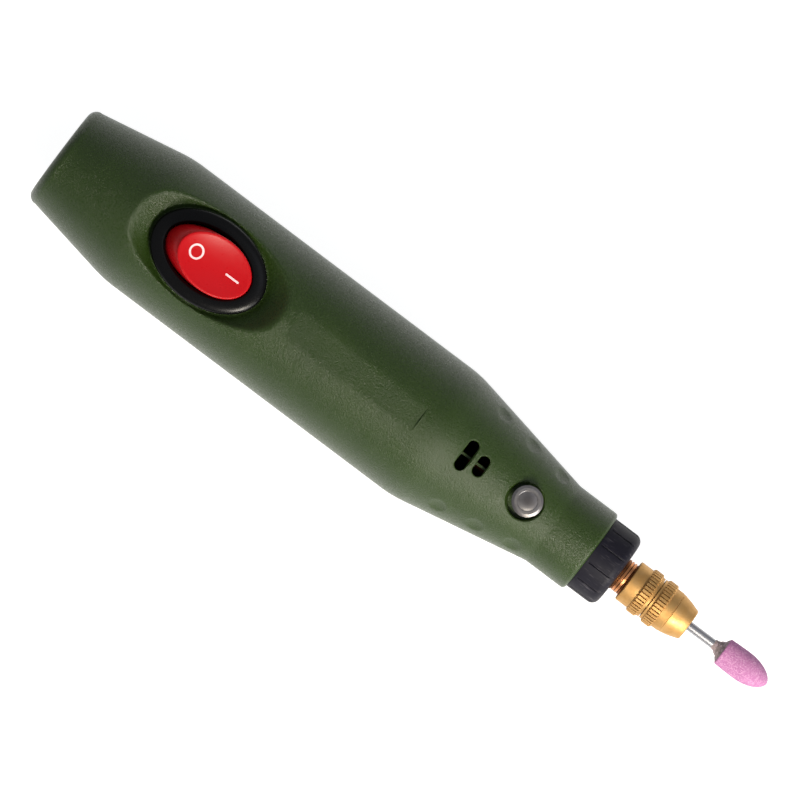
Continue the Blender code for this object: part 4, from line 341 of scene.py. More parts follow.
# %% Finishes: stone and cement
def abrasive(name, codes, grain_mm, relief_mm):
    """Bonded grains: Voronoi cells of about a grain, each with its own shade and height."""
    material, tree, shader, place = new_finish(name, codes[1], 0.85)
    cells = add(tree, "ShaderNodeTexVoronoi", {"Vector": place, "Scale": per(grain_mm)})
    cloud = add(tree, "ShaderNodeTexNoise", {"Vector": place, "Scale": per(grain_mm * 6), "Detail": 4.0})
    shade = add(tree, "ShaderNodeSeparateColor", {"Color": cells.outputs["Color"]})
    ramp = add(tree, "ShaderNodeValToRGB", {"Fac": shade})
    for element, code, stop in zip(ramp.color_ramp.elements, (codes[0], codes[2]), (0.1, 0.9)):
        element.color, element.position = colour(code), stop
    ramp.color_ramp.elements.new(0.5).color = colour(codes[1])
    tint = add(tree, "ShaderNodeMix", {0: cloud, 6: ramp, 7: colour(codes[1])}, data_type="RGBA")
    relief = {"Strength": 0.8, "Distance": relief_mm * MM, "Height": shade.outputs["Green"]}
    feed(tree, shader, {"Base Color": tint, "Normal": add(tree, "ShaderNodeBump", relief)})
    return material


PINK_STONE = abrasive("alumina_pink", ("#935587", "#AB6F9B", "#C69ABA"), 0.24, 0.07)
CEMENT = abrasive("cement_grey", ("#5E5450", "#8E7F80", "#B7A3AE"), 0.4, 0.08)
FERRITE = abrasive("ferrite_black", ("#26262A", "#2E2E33", "#3A3A40"), 0.3, 0.01)
print("mineral finishes:", PINK_STONE.name, CEMENT.name, FERRITE.name)

# %% [markdown]
# Windings are enamelled copper wire, 0.3 mm thick and wound close, so they read as fine ridges.
# The bands of a diagonal wave lie 1.155 times as far apart as those along one axis, hence 0.26 mm here.
# Lead wires are PVC, soft and slightly dull.


# %% Finishes: windings and lead wires
def winding():
    """Enamelled wire wound close: ridges across the coil, 0.3 mm apart."""
    material, tree, shader, place = new_finish("copper_enamelled", "#A8552C", 0.3, 0.8)
    wave = {"Vector": place, "Scale": bands(0.26), "Distortion": 0.4}
    ridges_and_shade = add(tree, "ShaderNodeTexWave", wave, bands_direction="DIAGONAL").outputs["Fac"]
    # The ridges' relief is real. The colour darkening in the troughs between turns is painted shade.
    tints = {0: ridges_and_shade, 6: colour("#5A2A14"), 7: colour("#C26A38")}
    relief = {"Strength": 0.8, "Distance": 0.1 * MM, "Height": ridges_and_shade}
    tint, bump = add(tree, "ShaderNodeMix", tints, data_type="RGBA"), add(tree, "ShaderNodeBump", relief)
    feed(tree, shader, {"Base Color": tint, "Normal": bump})
    return material


WINDING = winding()
PVC_RED = plastic("pvc_red", "#B01C1C", 0.42, 1.0, 0.01)
PVC_BLACK = plastic("pvc_black", "#1A1A1C", 0.42, 1.0, 0.01)
print("finishes so far:", len(bpy.data.materials))

# %% [markdown]
# Most pieces start as a list of points. One function makes the mesh, moves it to the frame, shades it,
# gives it its finish and its body, and hides the model's nodes that it stands for.


# %% From points to a piece
def into_scene(name, data):
    """A new object of the scene that shows some data."""
    item = bpy.data.objects.new(name, data)
    bpy.context.scene.collection.objects.link(item)
    return item


def raw_object(name, points, faces):
    """An object in the frame from points in the pen's space and faces as rows of indices."""
    mesh = bpy.data.meshes.new(name)
    mesh.from_pydata([tuple(point) for point in points], [], [tuple(face) for face in faces])
    mesh.transform(PEN)
    bm = bmesh.new()
    bm.from_mesh(mesh)
    bmesh.ops.remove_doubles(bm, verts=bm.verts, dist=0.001 * MM)
    bmesh.ops.recalc_face_normals(bm, faces=bm.faces)
    bm.to_mesh(mesh)
    bm.free()
    return into_scene(name, mesh)


def move_in_pen(item, matrix):
    """Move or turn a mesh by a matrix of the pen's space."""
    item.data.transform(PEN @ matrix @ PEN.inverted())
    return item


def bake(item):
    """Turn an object's live modifiers into plain mesh."""
    graph = bpy.context.evaluated_depsgraph_get()
    mesh = bpy.data.meshes.new_from_object(item.evaluated_get(graph))
    item.modifiers.clear()
    item.data = mesh
    return item


def carve(item, tools, operation="DIFFERENCE"):
    """Cut the tools from a piece, or join them to it, and throw the tools away."""
    for tool in tools:
        modifier = item.modifiers.new("carve", "BOOLEAN")
        modifier.operation, modifier.solver, modifier.object = operation, "EXACT", tool
    bake(item)
    for tool in tools:
        bpy.data.objects.remove(tool)
    return item


def dress(item, finish, body, nodes=(), sharp=35):
    """Shade a finished mesh, give it its material, tie it to its body and hide the nodes that it stands for.
    """
    mesh = item.data
    mesh.materials.clear()
    mesh.materials.append(finish)
    mesh.shade_smooth()
    mesh.set_sharp_from_angle(angle=math.radians(sharp))
    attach(item, body)
    if nodes:
        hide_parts(*nodes)
    mesh.calc_loop_triangles()
    print(f"{item.name}: {len(mesh.loop_triangles)} triangles on {body}")
    return item


SLACK = 0.01


def mark_painted_shade(item, *spans):
    """Store where a mesh lies at or under a radius, in spans of stations, for a finish to paint shade there.
    """
    home = PEN.inverted()
    layer = item.data.attributes.new("painted_shade", "FLOAT", "POINT")
    for point, entry in zip(item.data.vertices, layer.data):
        s, y, z = home @ point.co
        inside = [first < s < last and math.hypot(y, z) < under + SLACK for first, last, under in spans]
        entry.value = float(any(inside))
    return item


# %% [markdown]
# Nearly every form here is a sheet over rows of points: a shape turned on a lathe, a loft over ovals, or
# a section swept through half a turn. So one function makes the faces for all three.


# %% Sheets over rows of points
def sheet_faces(rows, wide, ring=False, closed=True):
    """Faces between rows of points. A ring joins its last row to its first, and closed rows are loops."""
    faces = []
    for row in range(rows if ring else rows - 1):
        here, after = row * wide, (row + 1) % rows * wide
        for column in range(wide if closed else wide - 1):
            beside = (column + 1) % wide
            faces.append((here + column, here + beside, after + beside, after + column))
    return faces


def around(steps, start=0.0):
    """Angles in equal steps round a circle, from a share of a step."""
    return [math.tau * (step + start) / steps for step in range(steps)]


def lathe(name, outline, steps):
    """A shape turned about the pen's axis from (station, radius) points, closed if it starts off the axis."""
    ring = outline[0][1] > 0 or outline[-1][1] > 0
    points = [(s, r * math.sin(a), r * math.cos(a)) for s, r in outline for a in around(steps)]
    return raw_object(name, points, sheet_faces(len(outline), steps, ring))


def loft(name, rows, close_start=True, close_end=True):
    """A skin over rings of points, with a face on each end that is closed."""
    steps = len(rows[0])
    faces = sheet_faces(len(rows), steps)
    if close_start:
        faces.append(range(steps))
    if close_end:
        faces.append(range((len(rows) - 1) * steps, len(rows) * steps))
    return raw_object(name, [point for row in rows for point in row], faces)


def arc_corner(corner, before, after, radius, steps=5):
    """Points of a round corner between two straight lines, in any two axes."""
    here, back, ahead = (np.array(p, float) for p in (corner, before, after))
    u = (back - here) / np.linalg.norm(back - here)
    v = (ahead - here) / np.linalg.norm(ahead - here)
    half = math.acos(float(np.clip(u @ v, -1, 1))) / 2
    reach = radius / math.tan(half)
    centre = here + (u + v) / np.linalg.norm(u + v) * radius / math.sin(half)
    start, end = here + u * reach - centre, here + v * reach - centre
    turn = math.acos(float(np.clip(start @ end / radius**2, -1, 1)))
    arc = []
    for share in (step / steps for step in range(steps + 1)):
        way = (start * math.sin((1 - share) * turn) + end * math.sin(share * turn)) / math.sin(turn)
        arc.append(tuple(centre + way))
    return arc


def rounded(corners, steps=5):
    """An outline from (a, b) or (a, b, radius) corners, with its round corners as arcs."""
    outline = []
    for index, corner in enumerate(corners):
        if len(corner) == 2:
            outline.append(corner)
        else:
            before, after = corners[index - 1][:2], corners[(index + 1) % len(corners)][:2]
            outline += arc_corner(corner[:2], before, after, corner[2], steps)
    return outline


print("an arc of 5 steps has", len(rounded([(0, 0), (0, 1, 0.5), (1, 1)])) - 2, "points")

# %% [markdown]
# The casing is two half shells. A plain lathe shape with cuts would show the cuts as hard creases, while
# the moulded one has its dish, label recess and dimples blended into the round. So the top is written as
# a height over each point of a fine grid: the round body, the dish and the recess each give a height, and
# a smooth minimum takes the lowest of them with a small radius where they meet.

# %% The casing's form as a height
REAR_RADIUS, BODY_RADIUS, COLLAR_RADIUS = 12.65, 17.5, 10.75
BARREL_START, TAPER_START = 25.7, 109.6
COLLAR_START, COLLAR_END = 143.9, 155.0
SPIGOT_RADIUS, SPIGOT_END = 8.0, 160.7
BELLY_HALF_WIDTH = 6.0
SHOULDER_BLEND, COLLAR_BLEND = 0.55, 0.1
SWITCH_STATION = 42.9
DISH_FLOOR = 12.75
DISH_HALF_LENGTH, DISH_HALF_WIDTH = 15.3, 10.9
DISH_RUN, DISH_FLARE = 5.8, 2.2
DISH_RISE = BODY_RADIUS - DISH_FLOOR
DISH_EDGE = 0.8
DISH_REACH, DISH_HALVINGS = 4.0, 28
LABEL_START, LABEL_END, LABEL_HALF_WIDTH = 67.4, 104.1, 3.5
LABEL_EDGE, LABEL_END_RISE, LABEL_TILT, LABEL_BLEND = 0.16, 2, 0.07, 0.14
DIMPLE_STATIONS = (119.5, 129.15, 138.8)
DIMPLE_ANGLE = math.radians(58)
DIMPLE_HALF_LENGTH, DIMPLE_HALF_WIDTH, DIMPLE_DEPTH = 2.2, 2.4, 0.42


def smooth_min(a, b, blend):
    """The lower of two heights, rounded where they cross."""
    near = np.maximum(blend - np.abs(a - b), 0) / blend
    return np.minimum(a, b) - near * near * blend / 4


def body_radius(s):
    """Radius of the round body at a station: rear taper, barrel, front taper and collar."""
    rear = REAR_RADIUS + (BODY_RADIUS - REAR_RADIUS) * s / BARREL_START
    front = BODY_RADIUS + (COLLAR_RADIUS - BODY_RADIUS) * (s - TAPER_START) / (COLLAR_START - TAPER_START)
    radius = smooth_min(rear, np.full_like(s, BODY_RADIUS), SHOULDER_BLEND)
    radius = smooth_min(radius, front, SHOULDER_BLEND)
    return -smooth_min(-radius, np.full_like(s, -COLLAR_RADIUS), COLLAR_BLEND)


def dish_height(s, y):
    """Height of the switch dish: a flat oval floor with straight walls to a fuller outline at the skin.

    The share of the way up the wall at which a point lies on the outline is found by halving."""
    low, high = np.zeros_like(s), np.full_like(s, DISH_REACH)
    for _ in range(DISH_HALVINGS):
        run = (low + high) / 2
        fullness = 2.0 + np.minimum(run, 1)
        outside = np.abs((s - SWITCH_STATION) / (DISH_HALF_LENGTH + DISH_RUN * run)) ** fullness
        outside += np.abs(y / (DISH_HALF_WIDTH + DISH_FLARE * run)) ** fullness
        low = np.where(outside > 1, run, low)
        high = np.where(outside > 1, high, run)
    return DISH_FLOOR + DISH_RISE * (low + high) / 2


def label_height(s):
    """Height of the bare label recess: a long flat, and out of the way past its ends."""
    flat = math.sqrt(BODY_RADIUS**2 - LABEL_HALF_WIDTH**2)
    flat = flat + LABEL_TILT * (2 * (s - LABEL_START) / (LABEL_END - LABEL_START) - 1)
    past = np.maximum(LABEL_START - s, s - LABEL_END) / LABEL_EDGE
    return flat + np.clip(past, 0, 1) * LABEL_END_RISE


def dimple_depth(s, angle):
    """How far the three finger dimples on each flank sink under the round body."""
    depth = np.zeros_like(s)
    for station in DIMPLE_STATIONS:
        for side in (1, -1):
            across = (angle - side * DIMPLE_ANGLE) * body_radius(s) / DIMPLE_HALF_WIDTH
            along = (s - station) / DIMPLE_HALF_LENGTH
            depth += DIMPLE_DEPTH * np.maximum(1 - along**2 - across**2, 0)
    return depth


def top_height(s, y, height):
    """The upper half's height at a point, from the round body's height there."""
    height = smooth_min(height, label_height(s), LABEL_BLEND)
    return smooth_min(height, dish_height(s, y), DISH_EDGE)


sample = np.array([SWITCH_STATION])
print("dish floor at the switch:", float(top_height(sample, sample * 0, body_radius(sample))[0]))

# %% [markdown]
# The section of a half shell is one closed line: out along the rear face, forward over the outside,
# round the spigot and back along the inside, past the seats of both bearings and the ribs of the motor.
# The line is swept through half a turn. Its rows lie close together where the dish, the recess and the
# dimples need them.

# %% Sweep the two half shells
WALL, REAR_WALL = 2.2, 2.4
REAR_EDGE, COLLAR_EDGE = 2.4, 0.9
CORNER_OVER, ROW_CLEAR = 0.1, 0.3
MOUTH_RADIUS, REAR_FACE_RADIUS = 4.5, 7.0
SEAT_GAP, PARTING = 0.3, 0.15
COLUMNS = 132
LIP, MOTOR_RIB = 1.4, 1.6
ROOM_END, ROOM_STEP = 64, 0.8
ROW_SPANS = (  # first station, last station and distance of the rows
    (REAR_EDGE, 20, 1.1), (20, 66.5, 0.31), (66.5, 68.0, 0.1), (68.0, 103.6, 1.4), (103.6, 104.6, 0.1),
    (104.6, 116.5, 0.7), (116.5, 142.0, 0.33), (142.0, COLLAR_START + 1, 0.15),
    (COLLAR_START + 1, COLLAR_END - COLLAR_EDGE, 1.5),
)


def close_rows():
    """Stations of the outer rows: about 1 mm apart, and closer over each feature."""
    rows = []
    for start, end, step in ROW_SPANS:
        count = max(1, round((end - start) / step))
        rows += [start + (end - start) * number / count for number in range(count)]
    return np.array(rows)


def at_wall(s):
    """The inner wall's point at a station."""
    return s, float(body_radius(np.array([s]))[0]) - WALL


def seat(node, hole):
    """The line round a bearing's seat, from the front to the foot of the lip behind it."""
    first, last = (station + gap for station, gap in zip(stations(node), (-SEAT_GAP, SEAT_GAP)))
    radius = radius_of(node) + SEAT_GAP
    return [(last, hole), (last, radius), (first, radius), (first, hole), (first - LIP, hole)]


def shell_section():
    """The closed section as (station, radius) pairs, and how many of them are the outside."""
    corner = 0, REAR_RADIUS + CORNER_OVER
    edge = arc_corner(corner, (0, 0), (BARREL_START, BODY_RADIUS), REAR_EDGE, 8)
    rows = close_rows()
    rows = rows[rows > edge[-1][0] + ROW_CLEAR]
    outside = [(0.0, MOUTH_RADIUS), (0.0, REAR_FACE_RADIUS)] + edge + list(zip(rows, body_radius(rows)))
    ends = (COLLAR_START, COLLAR_RADIUS), (COLLAR_END, SPIGOT_RADIUS)
    outside += arc_corner((COLLAR_END, COLLAR_RADIUS), *ends, COLLAR_EDGE, 6)
    hole = radius_of("spindle") + SEAT_GAP
    front, rear = seat("front_bearing_outer", hole), seat("rear_bearing_outer", hole)
    lip_front = rear[0][0] + LIP
    inside = [(COLLAR_END, SPIGOT_RADIUS), (SPIGOT_END, SPIGOT_RADIUS), (SPIGOT_END, hole)]
    inside += front + [at_wall(front[-1][0]), at_wall(lip_front), (lip_front, hole)]
    room, ring = BODY_RADIUS - WALL, radius_of("motor_can") + SEAT_GAP
    inside += rear + [at_wall(rear[-1][0]), (TAPER_START, room)]
    motor_start, motor_end = stations("motor_end_cap")[0], stations("motor_can")[1]
    ribs = [(motor_end - MOTOR_RIB, motor_end - MOTOR_RIB * 2)]
    ribs.append((motor_start + MOTOR_RIB * 2, motor_start + MOTOR_RIB))
    for last, first in ribs:
        inside += [(last, room), (last, ring), (first, ring), (first, room)]
    inside += [(s, min(room, at_wall(s)[1])) for s in np.arange(ROOM_END, REAR_WALL + 1, -ROOM_STEP)]
    inside += [at_wall(REAR_WALL), (REAR_WALL, MOUTH_RADIUS)]
    return outside + inside, len(outside)


def half_shell(name, side):
    """Sweep the section through half a turn and press the outside and inside to their heights."""
    section, outer_count = shell_section()
    s, r = (np.array([row[axis] for row in section])[:, None] for axis in (0, 1))
    angle = np.arccos(PARTING / r) * np.linspace(-1, 1, COLUMNS + 1)[None, :]
    s = np.broadcast_to(s, angle.shape)
    y, z = r * np.sin(angle), r * np.cos(angle)
    outer = np.arange(len(section))[:, None] < outer_count
    sunk = np.where(outer, dimple_depth(s, angle), 0)
    y, z = y - sunk * np.sin(angle), z - sunk * np.cos(angle)
    if side > 0:
        over = np.where(outer, top_height(s, y, z), np.minimum(z, top_height(s, y, z + WALL) - WALL))
        z = np.where(s > REAR_EDGE, over, z)
    else:
        belly = math.sqrt(BODY_RADIUS**2 - BELLY_HALF_WIDTH**2)
        z = np.where(outer, np.minimum(z, belly), z)
    points = np.stack([s, y, z * side], axis=-1).reshape(-1, 3)
    rows, wide = len(section), COLUMNS + 1
    faces = sheet_faces(rows, wide, ring=True, closed=False)
    faces.append([row * wide for row in range(rows)])
    faces.append([row * wide + COLUMNS for row in reversed(range(rows))])
    return raw_object(name, points, faces)


upper = half_shell("upper_casing", 1)
lower = half_shell("lower_casing", -1)
print("upper half:", len(upper.data.polygons), "faces; lower half:", len(lower.data.polygons))

# %% [markdown]
# The holes are cut afterwards, because they have hard edges: two round-ended vents with a bar across
# them, the lock button's recess with its guide below, and the hole under the switch.
# A cut's tool is a stack of rings, and a ring's height may follow the casing's skin, so that the edge is
# taken off evenly all round.

# %% Tools for holes
ABOVE = 20
EDGE_LIFT = 0.7
ROUND_STEPS, OVAL_STEPS = 64, 128


def skin(offset):
    """A height that follows the casing's top surface, some way over or under it."""

    def over(x, y):
        s, across = np.array([x]), np.array([y])
        round_height = np.sqrt(body_radius(s) ** 2 - across**2)
        return float(top_height(s, across, round_height)[0]) + offset

    return over


def point_at(x, y, height):
    """A point whose height is a number or follows the skin."""
    return (x, y, height(x, y) if callable(height) else height)


def oval(place, half, height, steps=ROUND_STEPS):
    """A ring of points round an upright oval at a (station, side) place."""
    return [
        point_at(place[0] + half[0] * math.cos(a), place[1] + half[1] * math.sin(a), height)
        for a in around(steps)
    ]


def oval_rows(place, half, levels, steps=ROUND_STEPS):
    """Rings of points round an upright oval, one for each height and growth."""
    return [oval(place, (half[0] + more, half[1] + more), height, steps) for height, more in levels]


def slot_rows(centre, half_length, half_width, levels, steps):
    """Rings of points round a round-ended slot that lies across the pen."""
    straight, turns = half_length - half_width, around(steps, 0.5)
    shift = [math.copysign(straight, math.sin(a)) for a in turns]
    rows = []
    for height, more in levels:
        wide = half_width + more
        ends = [(centre + wide * math.cos(a), wide * math.sin(a) + side) for a, side in zip(turns, shift)]
        rows.append([point_at(x, y, height) for x, y in ends])
    return rows


def edged(low, edge):
    """Levels of a cut down to a height whose upper edge is taken off all round."""
    grown = edge + EDGE_LIFT
    return ((low, 0), (skin(-edge), 0), (skin(EDGE_LIFT), grown), (ABOVE, grown))


def block(name, low, high):
    """A plain block between two corners, as a tool for cutting or joining."""
    corners = [(x, y, z) for x in (low[0], high[0]) for y in (low[1], high[1]) for z in (low[2], high[2])]
    faces = [(0, 1, 3, 2), (4, 6, 7, 5), (0, 4, 5, 1), (2, 3, 7, 6), (0, 2, 6, 4), (1, 5, 7, 3)]
    return raw_object(name, corners, faces)


print("skin over the button:", round(skin(0)((button_centre[0] - REAR_X) / MM, 0), 2), "mm")

# %% Cut the holes of the upper half
VENTS = ((117.9, 4.0), (122.1, 2.65))
VENT_HALF_WIDTH, VENT_FLOOR, VENT_EDGE, VENT_STEPS = 1.35, 3, 0.2, 40
VENT_BAR = (115.2, -0.3, 11.6), (124.6, 0.3, 13.1)
RECESS_RADIUS, RECESS_EDGE, RECESS_SLOPE, RECESS_DEEP = 4.45, 0.35, 0.35, 1.7
RECESS_SHIFT = (-0.4, -0.25)
GUIDE_WALL = 1.4
GUIDE_LOW = heights("lock_clip")[1] + SEAT_GAP
GUIDE_TOP = GUIDE_LOW + 1.5
PIN_HOLE_RADIUS, PIN_HOLE_STEPS = 1.65, 48
SWITCH_HOLE_HALF = (13.6, 8.6)
THROUGH_TOP = ((5, 0), (ABOVE, 0))
BUTTON_STATION = (button_centre[0] - REAR_X) / MM

guide_radius = RECESS_RADIUS + GUIDE_WALL
guide_levels = ((GUIDE_LOW, 0), (skin(-WALL / 2), 0), (skin(-WALL / 2), -guide_radius))
recess_place = (BUTTON_STATION + RECESS_SHIFT[0], RECESS_SHIFT[1])
guide = oval_rows(recess_place, (guide_radius, guide_radius), guide_levels)
carve(upper, [loft("guide_boss", guide, close_end=False)], "UNION")
switch_hole = oval_rows((SWITCH_STATION, 0.0), SWITCH_HOLE_HALF, THROUGH_TOP, OVAL_STEPS)
recess_levels = ((GUIDE_TOP, -RECESS_SLOPE), (skin(-RECESS_DEEP), -RECESS_SLOPE))
recess_levels += edged(GUIDE_TOP, RECESS_EDGE)[1:]
recess = oval_rows(recess_place, (RECESS_RADIUS, RECESS_RADIUS), recess_levels)
pin_half = (PIN_HOLE_RADIUS, PIN_HOLE_RADIUS)
pin_hole = oval_rows((BUTTON_STATION, 0.0), pin_half, THROUGH_TOP, PIN_HOLE_STEPS)
tools = [loft("switch_hole", switch_hole), loft("button_recess", recess), loft("button_pin_hole", pin_hole)]
for number, (station, half_length) in enumerate(VENTS, 1):
    rows = slot_rows(station, half_length, VENT_HALF_WIDTH, edged(VENT_FLOOR, VENT_EDGE), VENT_STEPS)
    tools.append(loft(f"vent_{number}", rows))
carve(upper, tools)
carve(upper, [block("vent_bar", *VENT_BAR)], "UNION")
dress(upper, GREEN, "housing", ["upper_shell"])

# %% [markdown]
# The lower half has the belly flat that lets the pen lie still, and four deep seats for its screws.
# The seats are plain round holes, so they are cut from the swept shape in one go.

# %% Cut the screw seats of the lower half
SCREWS = ["case_screw_1", "case_screw_2", "case_screw_3", "case_screw_4"]
SCREW_LOW, SCREW_HIGH = heights(SCREWS[0])
HEAD_HEIGHT = 1.9
SINK_RADIUS, SINK_STEPS, SINK_FLOOR = 2.7, 40, -22
SCREW_SEAT = SCREW_LOW + HEAD_HEIGHT + SEAT_GAP


def screw_place(node):
    """Station and sideways place of a casing screw."""
    low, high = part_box(node)
    return ((low[0] + high[0]) / 2 - REAR_X) / MM, (low[1] + high[1]) / 2 / MM


sink_levels = ((SINK_FLOOR, 0), (SCREW_SEAT, 0))
sinks = []
for node_name in SCREWS:
    rows = oval_rows(screw_place(node_name), (SINK_RADIUS, SINK_RADIUS), sink_levels, SINK_STEPS)
    sinks.append(loft(f"sink_{node_name}", rows))
carve(lower, sinks)
dress(lower, GREEN, "housing", ["lower_shell"])

# %% [markdown]
# Many small pieces repeat one shape round the pen's axis, such as grooves and knurl teeth.
# One Geometry Nodes tree does this. It copies the mesh that it is given round the axis, makes the copies
# real and sets their material. Its inputs have names, so each piece sets its own count and finish.


# %% A tree that repeats a shape round the axis
def socket_tree(name, **inputs):
    """A geometry tree with a Geometry input and output and the named inputs between them."""
    tree = bpy.data.node_groups.new(name, "GeometryNodeTree")
    tree.interface.new_socket("Geometry", in_out="INPUT", socket_type="NodeSocketGeometry")
    for label, kind in inputs.items():
        tree.interface.new_socket(label.replace("_", " "), in_out="INPUT", socket_type=f"NodeSocket{kind}")
    tree.interface.new_socket("Geometry", in_out="OUTPUT", socket_type="NodeSocketGeometry")
    return tree, add(tree, "NodeGroupInput").outputs


def end_tree(tree, geometry, material):
    """Realise what was made, set its material and send it out."""
    real = add(tree, "GeometryNodeRealizeInstances", {"Geometry": geometry})
    painted = add(tree, "GeometryNodeSetMaterial", {"Geometry": real, "Material": material})
    add(tree, "NodeGroupOutput", {0: painted})
    return tree


def grow(item, tree, values):
    """Run a tree on an object with its named inputs, and keep the result as plain mesh."""
    modifier = item.modifiers.new(tree.name, "NODES")
    modifier.node_group = tree
    for entry in tree.interface.items_tree:
        if entry.in_out == "INPUT" and entry.name in values:
            modifier[entry.identifier] = values[entry.name]
    return bake(item)


def repeat_tree():
    """Copies of the given mesh, turned in equal steps about the pen's axis."""
    tree, given = socket_tree("repeat_round_axis", Count="Int", Axis_Height="Float", Finish="Material")
    down = add(tree, "ShaderNodeMath", {0: given["Axis Height"], 1: -1.0}, operation="MULTIPLY")
    to_axis = add(tree, "ShaderNodeCombineXYZ", {"Z": down})
    from_axis = add(tree, "ShaderNodeCombineXYZ", {"Z": given["Axis Height"]})
    lowered = add(tree, "GeometryNodeTransform", {"Geometry": given["Geometry"], "Translation": to_axis})
    places = add(tree, "GeometryNodePoints", {"Count": given["Count"]})
    step = add(tree, "ShaderNodeMath", {0: math.tau, 1: given["Count"]}, operation="DIVIDE")
    index = add(tree, "GeometryNodeInputIndex")
    angle = add(tree, "ShaderNodeMath", {0: index, 1: step}, operation="MULTIPLY")
    turn = add(tree, "ShaderNodeCombineXYZ", {"X": angle})
    laid = {"Points": places, "Instance": lowered, "Rotation": turn}
    copies = add(tree, "GeometryNodeInstanceOnPoints", laid)
    raised = add(tree, "GeometryNodeTransform", {"Geometry": copies, "Translation": from_axis})
    return end_tree(tree, raised, given["Finish"])


REPEAT = repeat_tree()


def repeat_round(item, count, finish):
    """Repeat a piece round the pen's axis."""
    return grow(item, REPEAT, {"Count": count, "Axis Height": AXIS_Z, "Finish": finish})


print("tree", REPEAT.name, "has", len(REPEAT.nodes), "nodes")

# %% [markdown]
# The nose cap screws over the casing's nose and clamps both halves. It has twelve shallow grooves for
# the fingers and a large radius at its front edge. The cap is turned, and the grooves are cut from it
# with a ring of slim rods, so that each groove has a round bottom.

# %% Nose cap
CAP_START, CAP_END = stations("nose_cap")
CAP_RADIUS = radius_of("nose_cap")
CAP_HOLE, CAP_HOLE_EDGE, CAP_FRONT = 4.9, 0.3, 1.9
CAP_INNER = SPIGOT_RADIUS + SEAT_GAP
CAP_EDGE, CAP_REAR_EDGE = 2.0, 0.3
CAP_GROOVES = 12
GROOVE_RADIUS, GROOVE_SINK, GROOVE_INSET = 0.26, -0.04, 0.9


def rod(name, start, end, height, radius, turn, steps=12):
    """A slim rod along the pen, standing off the axis at an angle."""
    sine, cosine = math.sin(turn), math.cos(turn)
    ring = [(radius * math.sin(a), height + radius * math.cos(a)) for a in around(steps)]
    ring = [(y * cosine - z * sine, y * sine + z * cosine) for y, z in ring]
    return loft(name, [[(s, y, z) for y, z in ring] for s in (start, end)])


cap_outline = rounded([
    (CAP_START, CAP_INNER), (CAP_START, CAP_RADIUS, CAP_REAR_EDGE), (CAP_END, CAP_RADIUS, CAP_EDGE),
    (CAP_END, CAP_HOLE, CAP_HOLE_EDGE), (CAP_END - CAP_FRONT, CAP_HOLE), (CAP_END - CAP_FRONT, CAP_INNER),
], 8)
nose = lathe("nose_cap_grooved", cap_outline, 192)
groove_span = CAP_START + GROOVE_INSET, CAP_END + 2
grooves = rod("cap_grooves", *groove_span, CAP_RADIUS + GROOVE_SINK, GROOVE_RADIUS, math.pi / CAP_GROOVES)
repeat_round(grooves, CAP_GROOVES, CAP_BLACK)
carve(nose, [grooves])
dress(nose, CAP_BLACK, "housing", ["nose_cap"])

# %% [markdown]
# The switch is an oval rocker in a domed bezel. Bezel and rocker are lofts of ovals, one over another.
# The bezel is one skin: up the outside, over the dome, down the inside and across the floor.

# %% Switch bezel
BEZEL_HALF, OPENING_HALF, BOX_HALF = (15.15, 10.5), (11.45, 7.1), (13.3, 8.3)
BOX_WALL = 1.2
BOX_BOTTOM, BEZEL_TOP = heights("switch_housing")
BEZEL_SEAT = DISH_FLOOR + SEAT_GAP
BEZEL_EDGE, BEZEL_LIP = 0.8, 0.75
THROAT_DEPTH, THROAT_SHARE = 2.2, 0.35
PIVOT_DEPTH = 4.0
PIVOT_HEIGHT = BEZEL_TOP - PIVOT_DEPTH
DOME_STEPS, DOME_POWER, LIP_STEPS = 9, 0.8, 5


def oval_ring(half, height):
    """One oval of points about the switch's centre."""
    return oval((SWITCH_STATION, 0.0), half, height, OVAL_STEPS)


def between(outer, inner, share):
    """An oval's half sizes part of the way from one oval to another."""
    return tuple(a + (b - a) * share for a, b in zip(outer, inner))


lip_half = tuple(value + BEZEL_LIP for value in OPENING_HALF)
room_half = tuple(value - BOX_WALL for value in BOX_HALF)
bezel_rows = [oval_ring(BOX_HALF, height) for height in (BOX_BOTTOM, BEZEL_SEAT)]
bezel_rows.append(oval_ring(BEZEL_HALF, BEZEL_SEAT))
for step in range(DOME_STEPS + 1):
    bend = math.pi / 2 * step / DOME_STEPS
    height = BEZEL_SEAT + BEZEL_EDGE + (BEZEL_TOP - BEZEL_SEAT - BEZEL_EDGE) * math.sin(bend) ** DOME_POWER
    bezel_rows.append(oval_ring(between(BEZEL_HALF, lip_half, 1 - math.cos(bend)), height))
for step in range(1, LIP_STEPS + 1):
    bend = math.pi / 2 * step / LIP_STEPS
    lip = between(lip_half, OPENING_HALF, math.sin(bend))
    bezel_rows.append(oval_ring(lip, BEZEL_TOP - BEZEL_LIP * (1 - math.cos(bend))))
bezel_rows.append(oval_ring(between(OPENING_HALF, room_half, THROAT_SHARE), BEZEL_TOP - THROAT_DEPTH))
bezel_rows += [oval_ring(room_half, height) for height in (PIVOT_HEIGHT, BOX_BOTTOM + BOX_WALL)]
dress(loft("switch_bezel", bezel_rows), SWITCH_BLACK, "housing", ["switch_housing"], 40)

# %% [markdown]
# The rocker's cap has a dished oval face with a thin rounded rim, and end walls on an arc about the
# pivot, so that it clears the bezel as it tilts. It is drawn level and then tilted to its rest, I end down.
# Its marks are a ring and a bar, drawn as thin inlays that stand 0.03 mm proud, as pad print does.

